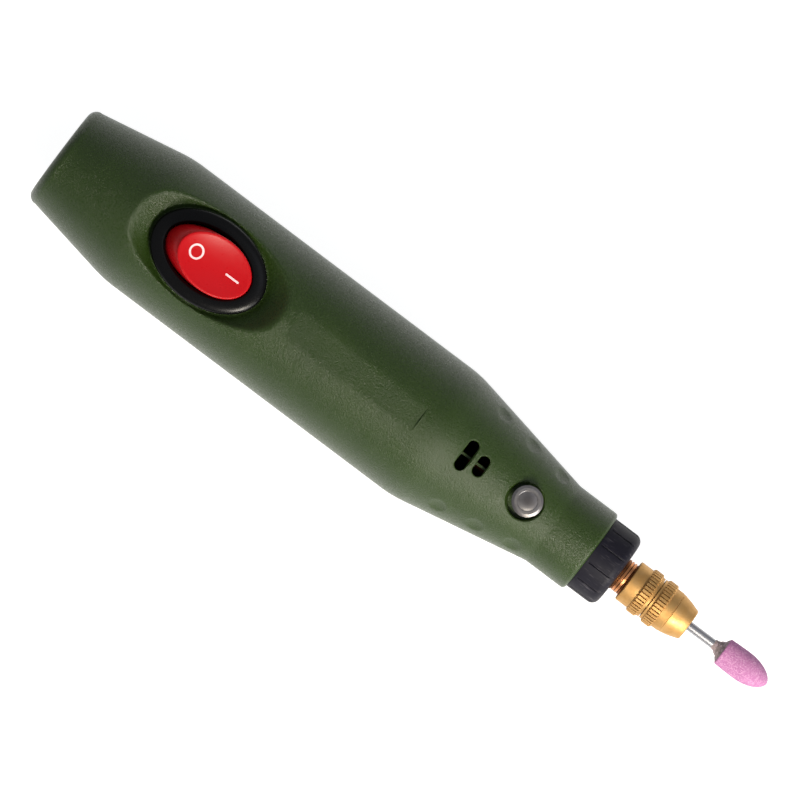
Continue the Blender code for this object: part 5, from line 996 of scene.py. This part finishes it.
# %% Rocker
ROCKER_FACE, ROCKER_HALF_WIDTH = 6.7, 6.7
ROCKER_RADIUS = math.hypot(OPENING_HALF[0], PIVOT_DEPTH) - SEAT_GAP
ROCKER_SKIRT, ROCKER_RIM, ROCKER_WALL, ROCKER_SAG = 3.0, 0.35, 1.5, 0.8
ROCKER_TILT = math.radians(14.95)
WALL_ROWS, RIM_STEPS = 16, 6
FACE_SHARES = (0.94, 0.85, 0.72, 0.57, 0.4, 0.22, 0.0)
TO_PIVOT = Matrix.Translation((SWITCH_STATION, 0, PIVOT_HEIGHT))
TILT = TO_PIVOT @ Matrix.Rotation(ROCKER_TILT, 4, "Y") @ TO_PIVOT.inverted()


def tilted(rows):
    """Rings of points, tilted with the rocker about its pivot."""
    return [[tuple(TILT @ Vector(point)) for point in row] for row in rows]


def rocker_half(height, inset=0.0):
    """Half sizes of the cap at a height over the pivot."""
    return math.sqrt((ROCKER_RADIUS - inset) ** 2 - height**2), ROCKER_HALF_WIDTH - inset


RIM_HALF = rocker_half(ROCKER_FACE - ROCKER_RIM, ROCKER_RIM)


def face_height(along, across):
    """Height of the dished face over the pivot, at a place counted from the switch's centre."""
    out = min(1.0, (along / RIM_HALF[0]) ** 2 + (across / RIM_HALF[1]) ** 2)
    return ROCKER_FACE - ROCKER_SAG * (1 - out)


ceiling = PIVOT_HEIGHT + ROCKER_FACE - ROCKER_SAG - ROCKER_WALL
cap_rows = [
    oval_ring((0.0, 0.0), ceiling),
    oval_ring(rocker_half(ROCKER_FACE, ROCKER_WALL), ceiling),
    oval_ring(rocker_half(0, ROCKER_WALL), PIVOT_HEIGHT - ROCKER_SKIRT),
]
for height in np.linspace(-ROCKER_SKIRT, ROCKER_FACE - ROCKER_RIM, WALL_ROWS):
    cap_rows.append(oval_ring(rocker_half(height), PIVOT_HEIGHT + height))
shoulder = rocker_half(ROCKER_FACE - ROCKER_RIM)
for step in range(1, RIM_STEPS + 1):
    bend = math.pi / 2 * step / RIM_STEPS
    shrink = ROCKER_RIM * (1 - math.cos(bend))
    height = ROCKER_FACE - ROCKER_RIM * (1 - math.sin(bend))
    cap_rows.append(oval_ring((shoulder[0] - shrink, shoulder[1] - shrink), PIVOT_HEIGHT + height))
for share in FACE_SHARES:
    half = tuple(share * value for value in RIM_HALF)
    cap_rows.append(oval_ring(half, PIVOT_HEIGHT + face_height(half[0], 0)))
dress(loft("rocker_cap", tilted(cap_rows), False, False), ROCKER_RED, "rocker", ["rocker"], 40)

# %% The rocker's marks
PRINT_HEIGHT, PRINT_SINK = 0.03, -0.2
MARK_LINE = 0.5
MARK_OFF_PLACE, MARK_OFF_RADIUS = -5.3, 1.65
MARK_ON_PLACE, MARK_ON_LENGTH = 5.4, 3.8


def on_face(along, across, height):
    """A point over the rocker's dished face, before it is tilted."""
    return (SWITCH_STATION + along, across, PIVOT_HEIGHT + face_height(along, across) + height)


def flat_ring(name, centre, inner, outer, steps=72):
    """A thin ring laid on the rocker's face."""
    line = [(inner, PRINT_SINK), (outer, PRINT_SINK), (outer, PRINT_HEIGHT), (inner, PRINT_HEIGHT)]
    rows = []
    for radius, height in line + line[:1]:
        places = [(centre + radius * math.cos(a), radius * math.sin(a)) for a in around(steps)]
        rows.append([on_face(along, across, height) for along, across in places])
    return loft(name, tilted(rows), False, False)


def flat_bar(name, centre, length, width, steps=40):
    """A thin round-ended bar along the pen, laid on the rocker's face."""
    straight, turns = length / 2 - width / 2, around(steps, 0.5)
    along = [centre + width / 2 * math.cos(a) + math.copysign(straight, math.cos(a)) for a in turns]
    rows = []
    for height in (PRINT_SINK, PRINT_HEIGHT):
        rows.append([on_face(x, width / 2 * math.sin(a), height) for x, a in zip(along, turns)])
    return loft(name, tilted(rows))


ring_radii = MARK_OFF_RADIUS - MARK_LINE / 2, MARK_OFF_RADIUS + MARK_LINE / 2
off_mark = flat_ring("mark_off_ring", MARK_OFF_PLACE, *ring_radii)
on_mark = flat_bar("mark_on_bar", MARK_ON_PLACE, MARK_ON_LENGTH, MARK_LINE)
for mark in (off_mark, on_mark):
    dress(mark, MARK_WHITE, "rocker")

# %% [markdown]
# The lock button is a turned steel disc on a pin, with a shallow groove in its face. Pressed, the pin
# enters a cross hole in the spindle and holds it while the chuck is tightened. A coil spring under the
# head brings it back.
# A second tree draws a wire along a spiral. It serves this spring and, later, the spindle's thread.

# %% Lock button
BUTTON_RADIUS = radius_of("lock_button")
PIN_TIP, BUTTON_TOP = heights("lock_button")
PIN_RADIUS, PIN_EDGE = 1.5, 0.35
CLIP_LOW, CLIP_HIGH = heights("lock_clip")
CLIP_RADIUS = PIN_RADIUS - 0.35
HEAD_LOW = BUTTON_TOP - 1.5
HEAD_SLOPE_LOW, HEAD_SLOPE_WIDE, HEAD_EDGE = BUTTON_TOP - 0.35, 0.6, 0.2
FACE_GROOVE = ((0, 2.45), (0.08, 2.35), (0.08, 2.1), (0.02, 1.95), (0.02, 0.0))  # depth and radius
BUTTON_STEPS = 96
button_outline = [
    (PIN_TIP, 0.0), (PIN_TIP, PIN_RADIUS, PIN_EDGE), (CLIP_LOW, PIN_RADIUS), (CLIP_LOW, CLIP_RADIUS),
    (CLIP_HIGH, CLIP_RADIUS), (CLIP_HIGH, PIN_RADIUS), (HEAD_LOW, PIN_RADIUS),
    (HEAD_LOW, BUTTON_RADIUS, HEAD_EDGE), (HEAD_SLOPE_LOW, BUTTON_RADIUS),
    (BUTTON_TOP, BUTTON_RADIUS - HEAD_SLOPE_WIDE, HEAD_EDGE),
]
button_outline += [(BUTTON_TOP - sink, radius) for sink, radius in FACE_GROOVE]
button_rows = [
    oval((BUTTON_STATION, 0.0), (radius, radius), height, BUTTON_STEPS)
    for height, radius in rounded(button_outline)
]
button = loft("lock_button_turned", button_rows, False, False)
dress(button, BUTTON_FACE, "lock_button", ["lock_button"])


# %% A tree that draws a wire along a spiral
def spiral_tree():
    """A wire of any section along a spiral about Z, then laid where the piece needs it."""
    tree, given = socket_tree(
        "spiral_wire", Radius="Float", Height="Float", Turns="Float", Steps_per_Turn="Int",
        Wire_Radius="Float", Sides="Int", Place="Vector", Rotation="Rotation", Finish="Material",
    )
    spiral = add(tree, "GeometryNodeCurveSpiral", {
        "Resolution": given["Steps per Turn"], "Rotations": given["Turns"], "Height": given["Height"],
        "Start Radius": given["Radius"], "End Radius": given["Radius"],
    })
    circle = {"Resolution": given["Sides"], "Radius": given["Wire Radius"]}
    section = add(tree, "GeometryNodeCurvePrimitiveCircle", circle)
    swept = {"Curve": spiral, "Profile Curve": section, "Fill Caps": True}
    wire = add(tree, "GeometryNodeCurveToMesh", swept)
    laid = {"Geometry": wire, "Translation": given["Place"], "Rotation": given["Rotation"]}
    return end_tree(tree, add(tree, "GeometryNodeTransform", laid), given["Finish"])


SPIRAL = spiral_tree()


def spiral_wire(name, radius, height, turns, wire, place, rotation, finish, sides=10, steps=40):
    """A wire along a spiral, in mm, laid at a place in the pen's space."""
    return grow(raw_object(name, [], []), SPIRAL, {
        "Radius": radius * MM, "Height": height * MM, "Turns": turns, "Steps per Turn": steps,
        "Wire Radius": wire * MM, "Sides": sides, "Place": PEN @ Vector(place), "Rotation": rotation,
        "Finish": finish,
    })


print("tree", SPIRAL.name, "has", len(SPIRAL.nodes), "nodes")

# %% The button's spring
SPRING_WIRE, SPRING_RADIUS, SPRING_TURNS = 0.2, 2.5, 3.5
SPRING_LOW, SPRING_HIGH = heights("lock_spring")
spring_height = SPRING_HIGH - SPRING_LOW - SPRING_WIRE * 2
spring_foot = (BUTTON_STATION, 0, SPRING_LOW + SPRING_WIRE)
spring_sizes = SPRING_RADIUS, spring_height, SPRING_TURNS, SPRING_WIRE
spring = spiral_wire("lock_spring_coil", *spring_sizes, spring_foot, (0, 0, 0), SPRING_STEEL)
dress(spring, SPRING_STEEL, "housing", ["lock_spring"], 60)
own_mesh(spring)

# %% [markdown]
# The spindle is bronze coloured and ends in a thread, of which under 3 mm shows between cap and chuck.
# Thread ridges are the spiral wire again, with a four-sided section half sunk in the core.

# %% Spindle and its thread
SPINDLE_START, SPINDLE_END = stations("spindle")
JOURNAL_START, THREAD_START = stations("rear_bearing_inner")[1] + SEAT_GAP, 161.3
JOURNAL_RADIUS, SHOULDER_RADIUS, SPINDLE_EDGE = 2.5, 4.0, 0.3
THREAD_RADIUS = radius_of("spindle")
THREAD_PITCH, THREAD_DEPTH = 0.75, 0.42
THREAD_CORE = THREAD_RADIUS - THREAD_DEPTH
BORE_RADIUS, BORE_START = 1.7, SPINDLE_END - 10
CROSS_RADIUS, CROSS_HALF, CROSS_STEPS = 1.8, 6, 32
ROOT_REACH, REAR_SHORT = 0.1, 0.2
spindle_outline = rounded([
    (SPINDLE_START, 0.0), (SPINDLE_START, JOURNAL_RADIUS, SPINDLE_EDGE), (JOURNAL_START, JOURNAL_RADIUS),
    (JOURNAL_START, SHOULDER_RADIUS, SPINDLE_EDGE), (THREAD_START, SHOULDER_RADIUS),
    (THREAD_START, THREAD_CORE), (SPINDLE_END, THREAD_CORE), (SPINDLE_END, BORE_RADIUS),
    (BORE_START, BORE_RADIUS), (BORE_START, 0.0),
])
spindle = lathe("spindle_threaded", spindle_outline, 96)
cross = rod("cross_hole", -CROSS_HALF, CROSS_HALF, 0, CROSS_RADIUS, 0, CROSS_STEPS)
upright = Matrix.Rotation(math.pi / 2, 4, "Y")
move_in_pen(cross, Matrix.Translation((BUTTON_STATION, 0, 0)) @ upright)
carve(spindle, [cross])
thread_length = SPINDLE_END - THREAD_START - THREAD_PITCH
thread_sizes = THREAD_CORE, thread_length, thread_length / THREAD_PITCH, THREAD_DEPTH
thread_place = (THREAD_START + THREAD_PITCH / 2, 0, 0)
thread = spiral_wire("spindle_thread", *thread_sizes, thread_place, (0, math.pi / 2, 0), BRONZE, 4, 64)
# Painted shade: the thread's roots and the whole spindle behind the thread are marked to be coloured darker.
thread_roots = (THREAD_START - ROOT_REACH, SPINDLE_END + ROOT_REACH, THREAD_CORE)
rear_part = (SPINDLE_START - 1, THREAD_START - REAR_SHORT, BODY_RADIUS)
for item in (spindle, thread):
    mark_painted_shade(item, thread_roots, rear_part)
dress(spindle, BRONZE, "rotor", ["spindle"], 30)
dress(thread, BRONZE, "rotor", (), 30)

# %% [markdown]
# The chuck is brass, in two pieces. The body screws on the spindle, and the sleeve turns on it to work
# the jaws. Each has a band of 40 straight teeth for the fingers. A band is a core with one tooth that
# the repeat tree copies round it. The teeth are bevelled at their ends, where the photograph shows light.

# %% Knurled bands
CHUCK_START = stations("chuck_body")[0]
SLEEVE_START, CHUCK_END = stations("chuck_sleeve")
BAND_LENGTH = 2.75
REAR_BAND = CHUCK_START + 3.5
FRONT_BAND = REAR_BAND + BAND_LENGTH + 1.5
TOOTH_TIP = radius_of("chuck_sleeve")
TOOTH_ROOT = TOOTH_TIP - 0.4
TEETH, TOOTH_SHARE, TOOTH_TAPER, TOOTH_SUNK, TOOTH_SLOPE = 40, 0.72, 0.05, 0.3, 0.32
GROOVE_NECK, REAR_NECK = 5.425, 5.35
SHADE_INSET = 0.15


def tooth(name, start, length):
    """One knurl tooth: a straight bar with steep flanks and bevelled ends."""
    half = math.pi * TOOTH_TIP / TEETH
    low_half, high_half = half * (TOOTH_SHARE + TOOTH_TAPER), half * (TOOTH_SHARE - TOOTH_TAPER)
    bottom, shoulder = TOOTH_ROOT - TOOTH_SUNK, TOOTH_TIP - TOOTH_SLOPE
    tips = (start, shoulder), (start + TOOTH_SLOPE, TOOTH_TIP)
    tips += (start + length - TOOTH_SLOPE, TOOTH_TIP), (start + length, shoulder)
    section = (-low_half, None), (-high_half, 1), (high_half, 1), (low_half, None)
    return loft(name, [[(s, y, height if up else bottom) for y, up in section] for s, height in tips])


def banded(core, band_start, name):
    """Join a knurled band to its turned core, as one piece."""
    teeth = repeat_round(tooth(f"{name}_teeth", band_start, BAND_LENGTH), TEETH, BRASS)
    bm = bmesh.new()
    bm.from_mesh(core.data)
    bm.from_mesh(teeth.data)
    bm.to_mesh(core.data)
    bm.free()
    bpy.data.objects.remove(teeth)
    # The core between the teeth is marked for painted shade.
    return mark_painted_shade(core, (band_start + SLACK, band_start + BAND_LENGTH - SLACK, TOOTH_ROOT))


def band_core(start, before, after):
    """A core's line under its band. The two inner points are the ones that get painted shade."""
    end = start + BAND_LENGTH
    low = [(s, TOOTH_ROOT) for s in (start, start + SHADE_INSET, end - SHADE_INSET, end)]
    return [(start, before)] + low + [(end, after)]


print("teeth:", TEETH, "on a radius of", round(TOOTH_TIP, 2), "mm")

# %% Chuck body
THREAD_ROOM = THREAD_RADIUS + 0.15
NUT_END = CHUCK_START + 5
CORE_END, CORE_REAR, CORE_FRONT = CHUCK_END - 2.6, 4.6, 3.3
NECK_EDGE = 0.35
JAW_AXES = [joint["axis"] for joint in frame["joints"] if joint["name"].startswith("jaw_")]
JAW_NODES = ["chuck_jaw_1", "chuck_jaw_2", "chuck_jaw_3"]
JAW_TIP, JAW_LENGTH, JAW_RADIUS, JAW_TRAVEL = CHUCK_END - 0.5, 7.0, 1.1, 1.8
GRIP_HEIGHT = 2.095
WAY_GAP, WAY_FRONT = 0.15, -6


def along_jaw(name, number, start, end, radius, steps=32):
    """A rod on a jaw's slanted axis, from start to end behind its tip."""
    axis = Vector(JAW_AXES[number]).normalized()
    turn = math.tau * number / 3
    tip = Vector((JAW_TIP, -GRIP_HEIGHT * math.sin(turn), GRIP_HEIGHT * math.cos(turn)))
    side = axis.orthogonal().normalized()
    across = axis.cross(side)
    ring = [(side * math.cos(a) + across * math.sin(a)) * radius for a in around(steps)]
    return loft(name, [[tuple(tip + axis * reach + out) for out in ring] for reach in (start, end)])


rear_outline = [(CHUCK_START, THREAD_ROOM), (CHUCK_START, REAR_NECK, NECK_EDGE)]
rear_outline += band_core(REAR_BAND, REAR_NECK, GROOVE_NECK)
rear_outline += [
    (SLEEVE_START - SEAT_GAP, GROOVE_NECK), (SLEEVE_START - SEAT_GAP, CORE_REAR), (CORE_END, CORE_FRONT),
    (CORE_END, BORE_RADIUS), (NUT_END, BORE_RADIUS), (NUT_END, THREAD_ROOM),
]
chuck_rear = lathe("chuck_body_turned", rounded(rear_outline), 128)
way_rear, way_radius = JAW_LENGTH + JAW_TRAVEL + SEAT_GAP, JAW_RADIUS + WAY_GAP
ways = [along_jaw(f"jaw_way_{number}", number, way_rear, WAY_FRONT, way_radius) for number in range(3)]
carve(chuck_rear, ways)
banded(chuck_rear, REAR_BAND, "rear")
dress(chuck_rear, BRASS, "rotor", ["chuck_body"], 28)

# %% Chuck sleeve
JAW_ROOM_REAR, JAW_ROOM_FRONT = 4.9, 3.3
STEP_START = FRONT_BAND + BAND_LENGTH
NOSE_START = STEP_START + 2.3
CREASE = ((-0.35, 0), (-0.3, 0.16), (-0.12, 0.16), (0, 0.08))  # from the nose's start, and depth
NOSE_BEND, NOSE_END = (2.2, 4.78, 6.0), (3.92, 0.5)
sleeve_outline = [(SLEEVE_START, JAW_ROOM_REAR), (SLEEVE_START, GROOVE_NECK)]
sleeve_outline += band_core(FRONT_BAND, GROOVE_NECK, REAR_NECK)
sleeve_outline += [(NOSE_START + along, REAR_NECK - sink) for along, sink in CREASE]
sleeve_outline += [(NOSE_START + NOSE_BEND[0], *NOSE_BEND[1:]), (CHUCK_END, *NOSE_END)]
sleeve_outline.append((CHUCK_END, JAW_ROOM_FRONT))
sleeve = lathe("chuck_sleeve_turned", rounded(sleeve_outline, 8), 128)
banded(sleeve, FRONT_BAND, "front")
dress(sleeve, BRASS, "sleeve", ["chuck_sleeve"], 28)

# %% [markdown]
# Three round steel jaws lie on slanted ways in the chuck. Their inner faces are ground flat to grip
# the shank, and their tips are cut square. They show in the mouth of the sleeve.

# %% Jaws
GRIP_FACE = 1.325
GRIP_HALF, GRIP_PAST, SQUARE_HALF, SQUARE_PAST = 3, 4, 8, 6
GRIP_BLOCK = (CHUCK_START, -GRIP_HALF, -GRIP_HALF), (CHUCK_END + GRIP_PAST, GRIP_HALF, GRIP_FACE)
SQUARE_BLOCK = (JAW_TIP, -SQUARE_HALF, -SQUARE_HALF), (JAW_TIP + SQUARE_PAST, SQUARE_HALF, SQUARE_HALF)
for number, node_name in enumerate(JAW_NODES):
    jaw = along_jaw(f"jaw_{number + 1}_ground", number, JAW_LENGTH, 0, JAW_RADIUS)
    grip, square = block("grip", *GRIP_BLOCK), block("square", *SQUARE_BLOCK)
    move_in_pen(grip, Matrix.Rotation(math.tau * number / 3, 4, "X"))
    carve(jaw, [grip, square])
    dress(jaw, BEARING_STEEL, f"jaw_{number + 1}", [node_name])

# %% [markdown]
# The bit is a ground steel shank with a cemented stone. Stone and cement are not smooth, and their
# outline shows it, so a third tree moves the points of their mesh along the surface by a noise.


# %% A tree that roughens a surface
def roughen_tree():
    """Move each point along its normal by a noise of a given size and depth."""
    tree, given = socket_tree("roughen_surface", Grain_Scale="Float", Depth="Float", Finish="Material")
    noise = add(tree, "ShaderNodeTexNoise", {"Scale": given["Grain Scale"], "Detail": 3.0})
    centred = add(tree, "ShaderNodeMath", {0: noise, 1: 0.5}, operation="SUBTRACT")
    amount = add(tree, "ShaderNodeMath", {0: centred, 1: given["Depth"]}, operation="MULTIPLY")
    normal = add(tree, "GeometryNodeInputNormal")
    offset = add(tree, "ShaderNodeVectorMath", {0: normal, "Scale": amount}, operation="SCALE")
    moved = add(tree, "GeometryNodeSetPosition", {"Geometry": given["Geometry"], "Offset": offset})
    return end_tree(tree, moved, given["Finish"])


ROUGHEN = roughen_tree()


def roughen(item, grain_mm, depth_mm, finish):
    """Roughen a piece with grains of a real size."""
    return grow(item, ROUGHEN, {"Grain Scale": per(grain_mm), "Depth": depth_mm * MM, "Finish": finish})


print("tree", ROUGHEN.name, "has", len(ROUGHEN.nodes), "nodes")

# %% Shank and cement
SHANK_START, SHANK_END = stations("bit_shank")
SHANK_RADIUS, SHANK_EDGE = radius_of("bit_shank"), 0.3
STONE_START, STONE_END = stations("grinding_stone")
BOND_START = stations("stone_bond")[0]
BOND_FOOT, BOND_TOP, BOND_SWELL, BOND_ROWS = 1.15, 3.1, 2.1, 16
BOND_SUNK, BOND_GRAIN, BOND_LUMPS = 0.05, 0.9, 0.7
shank_outline = rounded([
    (SHANK_START, 0.0), (SHANK_START, SHANK_RADIUS, SHANK_EDGE),
    (SHANK_END, SHANK_RADIUS, SHANK_EDGE), (SHANK_END, 0.0),
])
dress(lathe("bit_shank_ground", shank_outline, 64), SHANK_STEEL, "bit", ["bit_shank"])

bond_outline = [(STONE_START - BOND_SUNK, SHANK_RADIUS)]
for share in np.linspace(0, 1, BOND_ROWS):
    swell = BOND_FOOT + (BOND_TOP - BOND_FOOT) * share**BOND_SWELL
    bond_outline.append((BOND_START + (STONE_START - BOND_START) * share, swell))
bond = lathe("stone_cement", bond_outline, 96)
roughen(bond, BOND_GRAIN, BOND_LUMPS, CEMENT)
dress(bond, CEMENT, "bit", ["stone_bond"], 80)

# %% Stone
STONE_RADIUS, STONE_REAR, STONE_EDGE, STONE_PLAY = 3.62, 3.45, 0.35, 0.25
STRAIGHT_SHARE, TIP_POWER = 0.42, 1.08
SIDE_SHARES, TIP_SHARES = np.linspace(0.12, 1, 24), np.linspace(0.02, 1, 48)
STONE_GRAIN, STONE_LUMPS = 0.32, 0.09
STONE_BORE = SHANK_RADIUS + 0.1
stone_length = STONE_END - STONE_START + STONE_PLAY
straight = stone_length * STRAIGHT_SHARE
bore_end = SHANK_END + SEAT_GAP
stone_outline = [(bore_end, 0.0), (bore_end, STONE_BORE), (STONE_START, STONE_BORE)]
edge_ends = (STONE_START, 0), (STONE_START + straight, STONE_RADIUS)
stone_outline += arc_corner((STONE_START, STONE_REAR), *edge_ends, STONE_EDGE, 4)
for share in SIDE_SHARES:
    bulge = (STONE_RADIUS - STONE_REAR) * math.sin(share * math.pi / 2)
    stone_outline.append((STONE_START + straight * share, STONE_REAR + bulge))
for share in TIP_SHARES:
    bend = math.pi / 2 * share
    reach = STONE_START + straight + (stone_length - straight) * math.sin(bend)
    stone_outline.append((reach, max(0.0, STONE_RADIUS * math.cos(bend) ** TIP_POWER)))
stone = lathe("grinding_stone_pink", stone_outline, 144)
roughen(stone, STONE_GRAIN, STONE_LUMPS, PINK_STONE)
dress(stone, PINK_STONE, "bit", ["grinding_stone"], 80)

# %% [markdown]
# The rear face has the round inlet for a 12 V plug: a black body whose bore holds a centre pin.
# The screws of the lower half are self-tapping, with a cross recess in a round head.

# %% Inlet
INLET_START, INLET_BACK = stations("dc_inlet")
INLET_HALF = radius_of("dc_inlet")
SNOUT_RADIUS, INLET_BORE, INLET_DEPTH = 4.2, 3.15, 12.3
SNOUT_END, SNOUT_OVERLAP = REAR_WALL + SEAT_GAP, 0.4
PIN_START, PIN_END = stations("inlet_pin")
INLET_PIN_RADIUS = radius_of("inlet_pin")
PIN_ROOM, PIN_ROOM_START = INLET_PIN_RADIUS + 0.15, 8
snout_back = SNOUT_END + SNOUT_OVERLAP
inlet_outline = rounded([
    (snout_back, INLET_BORE), (INLET_START, INLET_BORE, 0.3),
    (INLET_START, SNOUT_RADIUS, 0.25), (snout_back, SNOUT_RADIUS),
])
snout = lathe("inlet_snout", inlet_outline, 96)
box_body = block("inlet_box", (SNOUT_END, -INLET_HALF, -INLET_HALF), (INLET_BACK, INLET_HALF, INLET_HALF))


def drill(name, start, end, radius, steps):
    """A plain round tool on the pen's axis."""
    return lathe(name, [(start, 0.0), (start, radius), (end, radius), (end, 0.0)], steps)


bore = drill("inlet_bore", SNOUT_END - 1, INLET_DEPTH, INLET_BORE, 96)
carve(box_body, [bore, drill("pin_hole", PIN_ROOM_START, ABOVE, PIN_ROOM, 48)])
carve(snout, [box_body], "UNION")
snout.name = "inlet_body"
dress(snout, INLET_BLACK, "housing", ["dc_inlet"])
pin_outline = [(PIN_START, 0.0), (PIN_START, INLET_PIN_RADIUS, 0.5)]
pin_outline += [(PIN_END, INLET_PIN_RADIUS), (PIN_END, 0.0)]
dress(lathe("inlet_pin_turned", rounded(pin_outline), 48), ZINC, "housing", ["inlet_pin"])

# %% Casing screws
HEAD_RADIUS, SHAFT_RADIUS, POINT_LENGTH = radius_of(SCREWS[0]), 1.25, 1.5
CROSS_WIDE, CROSS_LINE, CROSS_DEEP = 2.4, 0.45, 1.1
screw_length = SCREW_HIGH - SCREW_LOW
screw_outline = rounded([
    (0.0, 0.0), (0.0, HEAD_RADIUS, 0.7), (HEAD_HEIGHT, HEAD_RADIUS, 0.15), (HEAD_HEIGHT, SHAFT_RADIUS),
    (screw_length - POINT_LENGTH, SHAFT_RADIUS), (screw_length, 0.0),
])


def screw(node):
    """A casing screw with its cross recess, standing head down in its seat."""
    station, across = screw_place(node)
    item = lathe(f"{node}_cross_head", screw_outline, 48)
    slots = []
    for wide, deep in ((CROSS_WIDE, CROSS_LINE), (CROSS_LINE, CROSS_WIDE)):
        slots.append(block("slot", (-1, -wide / 2, -deep / 2), (CROSS_DEEP, wide / 2, deep / 2)))
    carve(item, slots)
    stand = Matrix.Translation((station, across, SCREW_LOW)) @ Matrix.Rotation(-math.pi / 2, 4, "Y")
    return dress(move_in_pen(item, stand), ZINC, "housing", [node])


for node_name in SCREWS:
    screw(node_name)

# %% [markdown]
# The pieces inside the casing have the right shape already, so they keep the model's mesh and only
# get the finish of the real ones: windings, magnets, bushes, bearings, blades and wires.

# %% Finishes of the carried pieces
BEARING_PARTS = [f"{end}_bearing_{part}" for end in ("front", "rear") for part in ("outer", "inner", "balls")]
CARRIED = (
    (NATURAL_NYLON, ["switch_plunger"]),
    (COPPER, ["contact_bridge", "motor_terminal_1", "motor_terminal_2", "commutator"]),
    (BRASS, ["switch_terminal_1", "switch_terminal_2"]),
    (ZINC, ["inlet_leaf", "motor_can"]),
    (SPRING_STEEL, ["lock_clip"]),
    (INLET_BLACK, ["motor_end_cap"]),
    (FERRITE, ["motor_magnet_1", "motor_magnet_2"]),
    (SINTERED, ["motor_bush_rear", "motor_bush_front"]),
    (SHANK_STEEL, ["motor_shaft"]),
    (LAMINATED, ["armature_core", "grub_screw_1", "grub_screw_2"]),
    (WINDING, ["coil_1", "coil_2", "coil_3"]),
    # The coupling's near black is black oxide and also painted shade for the inside seen through the vents.
    (BLACK_OXIDE_AND_SHADE, ["coupling"]),
    (BEARING_STEEL, BEARING_PARTS),
    (PVC_RED, ["wire_inlet_switch", "wire_switch_motor"]),
    (PVC_BLACK, ["wire_inlet_motor"]),
)
for finish, node_names in CARRIED:
    for node_name in node_names:
        carried = frame["nodes"][node_name]
        carried.data.materials.clear()
        carried.data.materials.append(finish)
print("carried nodes:", sum(len(node_names) for _, node_names in CARRIED))

# %% [markdown]
# The picture looks straight down through a long lens, with the nose to the lower right.
# The camera is turned about its own line of sight for that. It leans a little to the pen's right and to
# its rear, because the photograph sees the switch and the button slightly off the middle line.

# %% Camera
SLANT, LEAN_SIDE, LEAN_REAR = (math.radians(angle) for angle in (36.97, 2.1, 0.8))
DISTANCE, FRAME_WIDTH, SENSOR = 2.8, 0.1867, 0.036
AIM_STATION, AIM_SIDE = 98.0, 1.52
aim = PEN @ Vector((AIM_STATION, AIM_SIDE, 0))
camera_data = bpy.data.cameras.new("camera")
camera_data.sensor_width = SENSOR / MM
camera_data.lens = SENSOR / MM * DISTANCE / FRAME_WIDTH
camera_data.clip_start, camera_data.clip_end = 0.05, 20
camera = into_scene("camera", camera_data)
lean = Matrix.Rotation(LEAN_SIDE, 4, "X") @ Matrix.Rotation(-LEAN_REAR, 4, "Y")
look = lean @ Matrix.Rotation(SLANT, 4, "Z")
camera.matrix_world = Matrix.Translation(aim) @ look @ Matrix.Translation((0, 0, DISTANCE))
bpy.context.scene.camera = camera
print("lens", round(camera_data.lens), "mm")

# %% [markdown]
# A shop's picture has a white ground without a shadow. Photographers get it with a sheet of lit acrylic
# as the table, so the floor is pale and glows a little. The room is dim, which keeps the greens deep.
# One soft lamp stands low at the pen's right, near the nose, where the photograph has its sheen. A wider
# one fills in behind it, and a faint cool one lights the top.
# The picture is shown with plain sRGB, because a film curve would turn the white ground grey.

# %% Floor and light
FLOOR_HALF, FLOOR_DROP = 1.5, -0.1 * MM
floor_mesh = bpy.data.meshes.new("table_top")
corners = [(x * FLOOR_HALF, y * FLOOR_HALF, FLOOR_DROP) for x, y in ((-1, -1), (1, -1), (1, 1), (-1, 1))]
floor_mesh.from_pydata(corners, [], [(0, 1, 2, 3)])
floor = into_scene("table_top", floor_mesh)
acrylic, _, acrylic_shader, _ = new_finish("acrylic_lit", "#ACACAC", 0.9, Emission_Strength=0.9)
acrylic_shader.inputs["Emission Color"].default_value = colour("#FFFFFF")
floor_mesh.materials.append(acrylic)

bpy.context.scene.view_settings.view_transform = "Standard"
world = bpy.data.worlds.new("tent")
bpy.context.scene.world = world
world.use_nodes = True
backdrop = world.node_tree.nodes["Background"]
feed(world.node_tree, backdrop, {"Color": colour("#F4F7FF"), "Strength": 0.32})


def lamp(name, place, size, power, code="#FFFFFF"):
    """A square soft lamp at a place in metres, aimed at the pen."""
    data = bpy.data.lights.new(name, "AREA")
    data.shape, data.size, data.energy = "SQUARE", size, power
    data.color = colour(code)[:3]
    item = into_scene(name, data)
    item.location = place
    item.rotation_mode = "QUATERNION"
    item.rotation_quaternion = (Vector(place) - aim).to_track_quat("Z", "Y")
    return item


lamp("key_lamp", (0.29, -0.25, 0.39), 0.16, 3.8, "#FFF7E8")
lamp("nose_lamp", (0.7, -0.25, 0.34), 0.4, 2.8)
lamp("top_lamp", (0.35, 0.4, 1.0), 0.5, 0.5, "#E6EEFF")
print("lamps:", len(bpy.data.lights))
